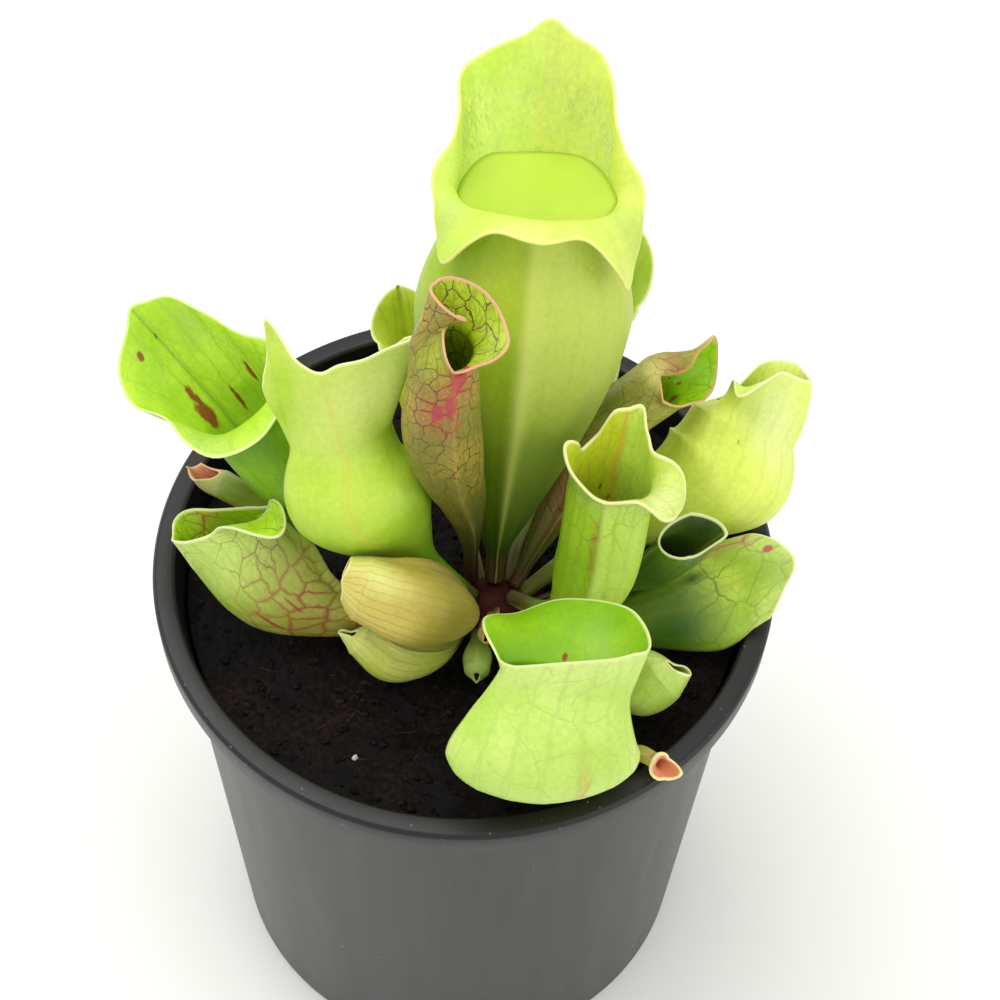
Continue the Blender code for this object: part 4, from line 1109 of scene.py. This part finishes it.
class PLANT_OT_pot(bpy.types.Operator):
    """Nursery pot, turned from its outline, with rounded edges and drainage holes"""

    bl_idname = "plant.pot"
    bl_label = "Nursery Pot"
    sharp = radians(12)  # an edge that turns by more is rounded
    smooth = radians(35)
    hole_sides = 32

    def execute(self, context):
        settings = context.scene.plant_pot
        profile = pot_profile()
        deselect()
        radius, height = profile[0]
        bpy.ops.mesh.primitive_circle_add(
            vertices=settings.sides, radius=radius * MM, fill_type="NGON", location=(0, 0, height * MM)
        )
        pot = context.object
        pot.name = pot.data.name = "nursery_pot"
        bpy.ops.object.mode_set(mode="EDIT")
        bpy.ops.mesh.select_all(action="SELECT")
        for (near, low), (far, high) in zip(profile, profile[1:]):
            rise = (0, 0, (high - low) * MM)
            bpy.ops.mesh.extrude_region_move(TRANSFORM_OT_translate={"value": rise})
            bpy.ops.transform.resize(value=(far / near, far / near, 1))
        bpy.ops.mesh.select_all(action="SELECT")
        bpy.ops.mesh.normals_make_consistent(inside=False)
        bpy.ops.object.mode_set(mode="OBJECT")
        rounding = {"width": settings.edge_round, "segments": 2}
        apply_modifier(pot, "BEVEL", limit_method="ANGLE", angle_limit=self.sharp, **rounding)
        self.drill(pot)
        bpy.ops.object.shade_smooth_by_angle(angle=self.smooth)
        dress(pot, "pot", pot_material(settings))
        return {"FINISHED"}

    def drill(self, pot):
        """Cuts the round drainage holes out of the floor."""
        for hole in range(DRAIN_HOLES):
            angle = 2 * pi * (hole + 0.5) / DRAIN_HOLES
            place = Vector((cos(angle), sin(angle), 0)) * DRAIN_CIRCLE * MM
            deselect()
            bpy.ops.mesh.primitive_cylinder_add(
                vertices=self.hole_sides, radius=DRAIN_RADIUS * MM, depth=4 * FLOOR * MM, location=place
            )
            drill = bpy.context.object
            deselect()
            pot.select_set(True)
            apply_modifier(pot, "BOOLEAN", object=drill, operation="DIFFERENCE")
            bpy.data.objects.remove(drill)


def soil_surface(x, y, relief):
    """Height of the peat, mm from the rim plane: the CAD bed's lumps with fine crumb on top."""
    random = np.random.default_rng(SOIL_SEED)
    spots = random.uniform(-1, 1, (SOIL_LUMPS, 2)) * RIM_BORE
    sizes = random.uniform(*LUMP_SIZES, SOIL_LUMPS)
    rises = random.uniform(*LUMP_RISES, SOIL_LUMPS)
    level = np.full(x.shape, -SOIL_RELIEF)
    for (lump_x, lump_y), size, rise in zip(spots, sizes, rises):
        level += rise * np.exp(-((x - lump_x) ** 2 + (y - lump_y) ** 2) / (2 * size**2))
    flat = np.stack([x, y, np.zeros(x.shape)], axis=-1)
    fine = sum(part * wavy(flat, size, seed) for seed, (size, part) in enumerate(CRUMB_WAVES, 1))
    return np.minimum(level, 0.0) - SOIL_DROP + relief * fine


class PLANT_OT_soil(bpy.types.Operator):
    """Bed of damp peat with a crumbled surface"""

    bl_idname = "plant.soil"
    bl_label = "Peat Bed"
    rings = 130
    sides = 240
    bore = 0.004  # share of the radius where the rings begin

    def execute(self, context):
        relief = context.scene.plant_soil.roughness / MM
        wall_height = RIM_PLANE - SKIRT_DROP
        bed_height = RIM_PLANE - SOIL_DROP - SOIL_RELIEF
        base_radius = BASE_RADIUS - WALL - CLEAR
        radius = base_radius + (BODY_TOP_RADIUS - BASE_RADIUS) * bed_height / wall_height
        angle = around(self.sides)
        reach = np.linspace(self.bore, 1, self.rings)[:, None] * radius
        x, y = reach * np.cos(angle), reach * np.sin(angle)
        top = np.stack([x, y, soil_surface(x, y, relief)], axis=-1)
        low = np.full(angle.shape, FLOOR + CLEAR - RIM_PLANE)
        base = np.stack([np.cos(angle) * base_radius, np.sin(angle) * base_radius, low], axis=-1)
        places = np.concatenate([pole(base), base[None], top[::-1], pole(top[0])])
        soil = grid_piece("peat_bed", places)
        dress(soil, "soil", peat_material("damp_sphagnum_peat", "#231711", "#0A0708"))
        return {"FINISHED"}


def scattered(radius, count, random):
    """Seeded spots on the peat: x, y and three turns for each."""
    reach = np.sqrt(random.uniform(0, 1, count)) * radius
    angle = random.uniform(0, 2 * pi, count)
    return reach * np.cos(angle), reach * np.sin(angle), random.uniform(0, 2 * pi, (count, 3))


def joined_copies(name, faces, places):
    """One mesh of many copies: places is count x points x 3, in mm from the rim's middle."""
    count, each = places.shape[:2]
    mesh = bpy.data.meshes.new(name)
    first = (np.arange(count) * each)[:, None, None]
    corners = (np.asarray(faces)[None] + first).reshape(-1, len(faces[0]))
    flat = places.reshape(-1, 3) * MM + np.array((0, 0, POT_HEIGHT))
    mesh.from_pydata(flat.tolist(), [], corners.tolist())
    mesh.update()
    piece = bpy.data.objects.new(name, mesh)
    bpy.context.scene.collection.objects.link(piece)
    return piece


def lump_shapes(count, sizes, turns, random):
    """Copies of one icosphere, each squashed, turned and dented in its own way."""
    dent, slimmest, flatness, tip = 0.3, 0.6, 0.7, 0.1
    deselect()
    bpy.ops.mesh.primitive_ico_sphere_add(subdivisions=1, radius=1)
    ball = bpy.context.object
    points = np.array([vertex.co for vertex in ball.data.vertices])
    faces = [list(face.vertices) for face in ball.data.polygons]
    bpy.data.objects.remove(ball)
    dents = 1 + random.uniform(-dent, dent, (count, len(points), 1))
    widths = [sizes, sizes * random.uniform(slimmest, 1, count), sizes * flatness]
    shapes = points[None] * dents * np.stack(widths, -1)[:, None]
    turned = [
        Matrix.Rotation(turn[2], 3, "Z") @ Matrix.Rotation(turn[0] * tip, 3, "X") for turn in turns
    ]
    return faces, np.einsum("nij,npj->npi", np.array(turned), shapes)


class PLANT_OT_crumbs(bpy.types.Operator):
    """Loose crumbs, fibres and pale grains that lie on the peat"""

    bl_idname = "plant.crumbs"
    bl_label = "Peat Crumbs"
    crumb_sizes = (0.35, 1.3)  # half width, mm
    grain_sizes = (0.3, 0.8)
    mostly_small = 2.5  # more makes large crumbs rarer
    seating = 0.25  # height of a crumb's middle over the peat, as a share of its half width
    crumb_circle = 56.5  # radius in mm within which crumbs lie
    fibre_circle = 55.0
    fibre_limit = 57  # no fibre reaches further out
    fibre_lengths = (2.5, 8)
    fibre_bend = 0.9
    fibre_radius = 0.11
    fibre_tip = 0.08  # more leaves the ends thicker
    fibre_height = 0.18
    fibre_rings = 5

    def execute(self, context):
        settings = context.scene.plant_soil
        relief = settings.roughness / MM
        random = np.random.default_rng(LITTER_SEED)
        dry = peat_material("dry_peat_crumb", "#32231A", "#0C0909")
        self.lumps("peat_crumbs", settings.crumbs, self.crumb_sizes, relief, random, dry)
        pale = speck_material()
        self.lumps("perlite_grains", settings.grains, self.grain_sizes, relief, random, pale)
        self.strands(settings.fibres, relief, random)
        return {"FINISHED"}

    def lumps(self, name, count, span, relief, random, material):
        x, y, turns = scattered(self.crumb_circle, count, random)
        sizes = span[0] + (span[1] - span[0]) * random.uniform(0, 1, count) ** self.mostly_small
        faces, shapes = lump_shapes(count, sizes, turns, random)
        z = soil_surface(x, y, relief) + sizes * self.seating
        piece = joined_copies(name, faces, shapes + np.stack([x, y, z], -1)[:, None])
        dress(piece, None, material)

    def strands(self, count, relief, random):
        """Thin bent fibres, each a three-sided tube that closes at both ends."""
        x, y, turns = scattered(self.fibre_circle, count, random)
        length = random.uniform(*self.fibre_lengths, count)
        bend = random.uniform(-self.fibre_bend, self.fibre_bend, count)
        rings = self.fibre_rings
        share = np.linspace(0, 1, rings)
        heading = turns[:, :1] + bend[:, None] * share
        step = (length / rings)[:, None]
        steps = [np.cumsum(turned(heading) * step, 1) for turned in (np.cos, np.sin)]
        middle = np.stack(steps, -1) + np.stack([x, y], -1)[:, None]
        reach = np.linalg.norm(middle, axis=-1, keepdims=True)
        middle *= np.minimum(1, self.fibre_limit / np.maximum(reach, 1))
        height = soil_surface(middle[..., 0], middle[..., 1], relief) + self.fibre_height
        middle = np.concatenate([middle, height[..., None]], -1)
        thick = self.fibre_radius * np.sin(pi * (self.fibre_tip + (1 - 2 * self.fibre_tip) * share))
        across = np.stack([-np.sin(heading), np.cos(heading), np.zeros(heading.shape)], -1)
        corners = []
        for turn in around(3):
            offset = across * cos(turn) + np.array((0, 0, 1)) * sin(turn)
            corners.append(middle + offset * thick[None, :, None])
        places = np.stack(corners, 2).reshape(count, rings * 3, 3)
        faces = [(2, 1, 0), (rings * 3 - 3, rings * 3 - 2, rings * 3 - 1)]
        for ring in range(rings - 1):
            for side in range(3):
                here, beside = ring * 3 + side, ring * 3 + (side + 1) % 3
                faces += [(here, beside, beside + 3), (here, beside + 3, here + 3)]
        piece = joined_copies("peat_fibres", faces, places)
        dress(piece, None, peat_material("peat_fibre", "#5E4630", "#2E2218"))


class PLANT_OT_crown(bpy.types.Operator):
    """Growing point, wrapped in the ribs of old leaf bases"""

    bl_idname = "plant.crown"
    bl_label = "Crown"
    rows = 40
    sides = 108

    def execute(self, context):
        rise = np.linspace(-pi / 2, pi / 2, self.rows + 2)[1:-1][:, None]
        angle = around(self.sides)
        ribs = np.abs(np.cos(CROWN_RIBS * angle / 2 + rise * CROWN_TWIST)) * np.cos(rise)
        swell = 1 + CROWN_RIB_SHARE * ribs
        x = np.cos(rise) * np.cos(angle) * CROWN_RADII[0] * swell
        y = np.cos(rise) * np.sin(angle) * CROWN_RADII[1] * swell
        z = np.broadcast_to(np.sin(rise) * CROWN_RADII[2], x.shape)
        ball = np.stack([x, y, z], axis=-1)
        size, depth = CROWN_DENTS
        ball = ball * (1 + depth * wavy(ball, size, CROWN_SEED))[..., None] * CROWN_FIT
        ball = ball + np.array(CROWN_CENTRE)
        places = np.concatenate([pole(ball[0]), ball, pole(ball[-1])])
        dress(grid_piece("growing_point", places), "crown", crown_material())
        return {"FINISHED"}


class PLANT_OT_pitchers(bpy.types.Operator):
    """Every pitcher leaf, with its winged tube, thin hood and rounded margin"""

    bl_idname = "plant.pitchers"
    bl_label = "Pitchers"

    def execute(self, context):
        for name in PITCHERS:
            build_pitcher(name)
        return {"FINISHED"}


class PLANT_OT_water(bpy.types.Operator):
    """Rain water held by the tallest pitcher, level, with a meniscus at the wall"""

    bl_idname = "plant.water"
    bl_label = "Rain Water"
    rows = 16
    rings = 12

    def execute(self, context):
        _, inner, _, _ = sheets("pitcher_tall")
        wall = inner - WATER_SKIN * normals(inner)
        first = int(WATER_BOTTOM * (PITCHERS["pitcher_tall"]["grid"][0] - 1))
        sheet = np.empty((self.rows, wall.shape[1], 3))
        for column in range(wall.shape[1]):
            line = wall[first:, column]
            above = int(np.argmax(line[:, 2] > WATER_LEVEL))
            low, high = line[above - 1, 2], line[above, 2]
            top = above - 1 + (WATER_LEVEL - low) / (high - low)
            spots = np.linspace(0, top, self.rows)
            for axis in range(3):
                sheet[:, column, axis] = np.interp(spots, np.arange(len(line)), line[:, axis])
        centre = sheet[-1].mean(0)
        surface = []
        for part in np.linspace(1, 0, self.rings + 2)[1:-1]:
            drop = MENISCUS * (1 - np.exp(-(1 - part) * MENISCUS_FALL))
            surface.append(centre + (sheet[-1] - centre) * part - (0, 0, drop))
        places = np.concatenate([pole(sheet[0]), sheet, surface, pole(surface[-1])])
        dress(grid_piece("rain_water", places), "water", water_material())
        return {"FINISHED"}


class PLANT_OT_hairs(bpy.types.Operator):
    """Stiff hairs inside the hoods, which point down into the pitcher"""

    bl_idname = "plant.hairs"
    bl_label = "Hood Hairs"
    # Pitcher, share of the hairs and how far round from the back they grow, degrees
    hoods = (("pitcher_tall", 1.0, 68), ("pitcher_left_hood", 0.12, 70))
    heights = (0.12, 0.6, 0.94)  # lowest, most usual and highest root, as shares of the hood
    lengths = (0.6, 1.1)
    leans = (0.25, 0.6)
    sideways = 0.35
    root_turns = (0.0, 2.1, 4.2)

    def execute(self, context):
        settings = context.scene.plant_leaf
        for seed, (name, density, spread) in enumerate(self.hoods):
            self.grow(name, int(settings.hairs * density), spread, settings, seed)
        return {"FINISHED"}

    def grow(self, name, count, spread, settings, seed):
        rows, hood_rows, columns = PITCHERS[name]["grid"]
        _, inner, _, _ = sheets(name)
        normal = normals(inner)[rows - 1 :]
        plain = inner[rows - 1 :]
        random = np.random.default_rng(seed)
        row = random.triangular(*self.heights, count) * hood_rows
        column = (columns / 2 + random.uniform(-spread, spread, count) / 360 * columns) % columns
        low, left = row.astype(int), column.astype(int)
        up, right = (row - low)[:, None], (column - left)[:, None]
        after = (left + 1) % columns

        def blend(grid):
            near = grid[low, left] * (1 - right) + grid[low, after] * right
            far = grid[low + 1, left] * (1 - right) + grid[low + 1, after] * right
            return near * (1 - up) + far * up

        inward = -unit(blend(normal))
        root = blend(plain)
        down = -unit(plain[low + 1, left] - plain[low, left])
        across = np.cross(inward, down)
        lean = random.uniform(*self.leans, (count, 1))
        swerve = random.uniform(-self.sideways, self.sideways, (count, 1))
        heading = unit(down + inward * lean + across * swerve)
        length = settings.hair_length / MM * random.uniform(*self.lengths, (count, 1))
        width = settings.hair_width / MM
        ring = [root + (across * cos(turn) + inward * sin(turn)) * width for turn in self.root_turns]
        places = np.stack([*ring, root + heading * length], axis=1)
        piece = joined_copies(name + "_hairs", [(0, 1, 3), (1, 2, 3), (2, 0, 3), (2, 1, 0)], places)
        dress(piece, None, hair_material())


class PLANT_OT_stage(bpy.types.Operator):
    """Pale floor, even studio light and the photo's camera"""

    bl_idname = "plant.stage"
    bl_label = "Stage"
    floor_size = 6.0
    key_place = (-0.25, 0.15, 0.95)
    key_size = 0.7
    fill_place = (0.75, -0.45, 0.5)
    fill_size = 0.6
    aim = (0, 0, 0.15)

    def execute(self, context):
        settings = context.scene.plant_stage
        self.floor(settings)
        world = bpy.data.worlds.new("studio")
        world.use_nodes = True
        light = world.node_tree.nodes["Background"]
        wire(world.node_tree, light, {"Color": linear("#FFFFFD"), "Strength": settings.surround})
        context.scene.world = world
        self.lamp("key_light", self.key_place, self.key_size, settings.key)
        self.lamp("fill_light", self.fill_place, self.fill_size, settings.fill)
        self.camera(context.scene)
        context.scene.view_settings.view_transform = "Standard"
        return {"FINISHED"}

    def floor(self, settings):
        """Matt white board, its paint a little uneven."""
        deselect()
        bpy.ops.mesh.primitive_plane_add(size=self.floor_size, location=(0, 0, 0))
        floor = bpy.context.object
        floor.name = "floor"
        material, tree, shader = new_material("matt_white_board")
        place = add(tree, "ShaderNodeTexCoord", out=3)
        size, detail = FLOOR_CLOUDS
        waves = {"Vector": place, "Scale": per_metre(size), "Detail": detail}
        cloud = add(tree, "ShaderNodeTexNoise", waves)
        tone = add(tree, "ShaderNodeMapRange", {"Value": cloud, "To Min": 0.97})
        paint = {0: 1.0, 6: (*settings.floor, 1.0), 7: tone}
        colour = add(tree, "ShaderNodeMix", paint, blend_type="MULTIPLY", **COLOUR)
        wire(tree, shader, {"Base Color": colour, "Roughness": 0.9})
        floor.data.materials.append(material)

    def lamp(self, name, place, size, power):
        """A square soft light that faces the plant."""
        deselect()
        bpy.ops.object.light_add(type="AREA", location=place)
        lamp = bpy.context.object
        lamp.name = name
        lamp.data.size = size
        lamp.data.energy = power
        towards = Vector(self.aim) - Vector(place)
        lamp.rotation_euler = towards.to_track_quat("-Z", "Y").to_euler()

    def camera(self, scene):
        deselect()
        bpy.ops.object.camera_add()
        camera = bpy.context.object
        camera.name = "photo_camera"
        camera.data.sensor_width = SENSOR_WIDTH
        camera.data.lens = LENS
        right, up = Vector(CAMERA_RIGHT).normalized(), Vector(CAMERA_UP).normalized()
        turned = Matrix((right, up, right.cross(up))).transposed().to_4x4()
        place = Vector(CAMERA_PLACE) * MM + Vector((0, 0, POT_HEIGHT))
        camera.matrix_world = Matrix.Translation(place) @ turned
        scene.camera = camera


STEPS = (
    PLANT_OT_stage, PLANT_OT_pot, PLANT_OT_soil, PLANT_OT_crumbs, PLANT_OT_crown,
    PLANT_OT_pitchers, PLANT_OT_water, PLANT_OT_hairs,
)  # fmt: skip
GROUPS = {
    "plant_pot": PotSettings,
    "plant_soil": SoilSettings,
    "plant_leaf": LeafSettings,
    "plant_stage": StageSettings,
}


class PLANT_PT_panel(bpy.types.Panel):
    """Buttons and sizes of the potted pitcher plant"""

    bl_idname = "PLANT_PT_panel"
    bl_label = "Pitcher Plant"
    bl_space_type = "VIEW_3D"
    bl_region_type = "UI"
    bl_category = "Pitcher Plant"

    def draw(self, context):
        for step in STEPS:
            self.layout.operator(step.bl_idname)
        for title, group in GROUPS.items():
            box = self.layout.box()
            for field in group.__annotations__:
                box.prop(getattr(context.scene, title), field)


def register():
    for group in GROUPS.values():
        bpy.utils.register_class(group)
    for title, group in GROUPS.items():
        setattr(bpy.types.Scene, title, PointerProperty(type=group))
    for step in (*STEPS, PLANT_PT_panel):
        bpy.utils.register_class(step)


def unregister():
    for step in (PLANT_PT_panel, *reversed(STEPS)):
        bpy.utils.unregister_class(step)
    for title, group in GROUPS.items():
        delattr(bpy.types.Scene, title)
        bpy.utils.unregister_class(group)


def main():
    register()
    bpy.ops.plant.stage()
    bpy.ops.plant.pot()
    bpy.ops.plant.soil()
    bpy.ops.plant.crumbs()
    bpy.ops.plant.crown()
    bpy.ops.plant.pitchers()
    bpy.ops.plant.water()
    bpy.ops.plant.hairs()


if __name__ == "__main__":
    main()
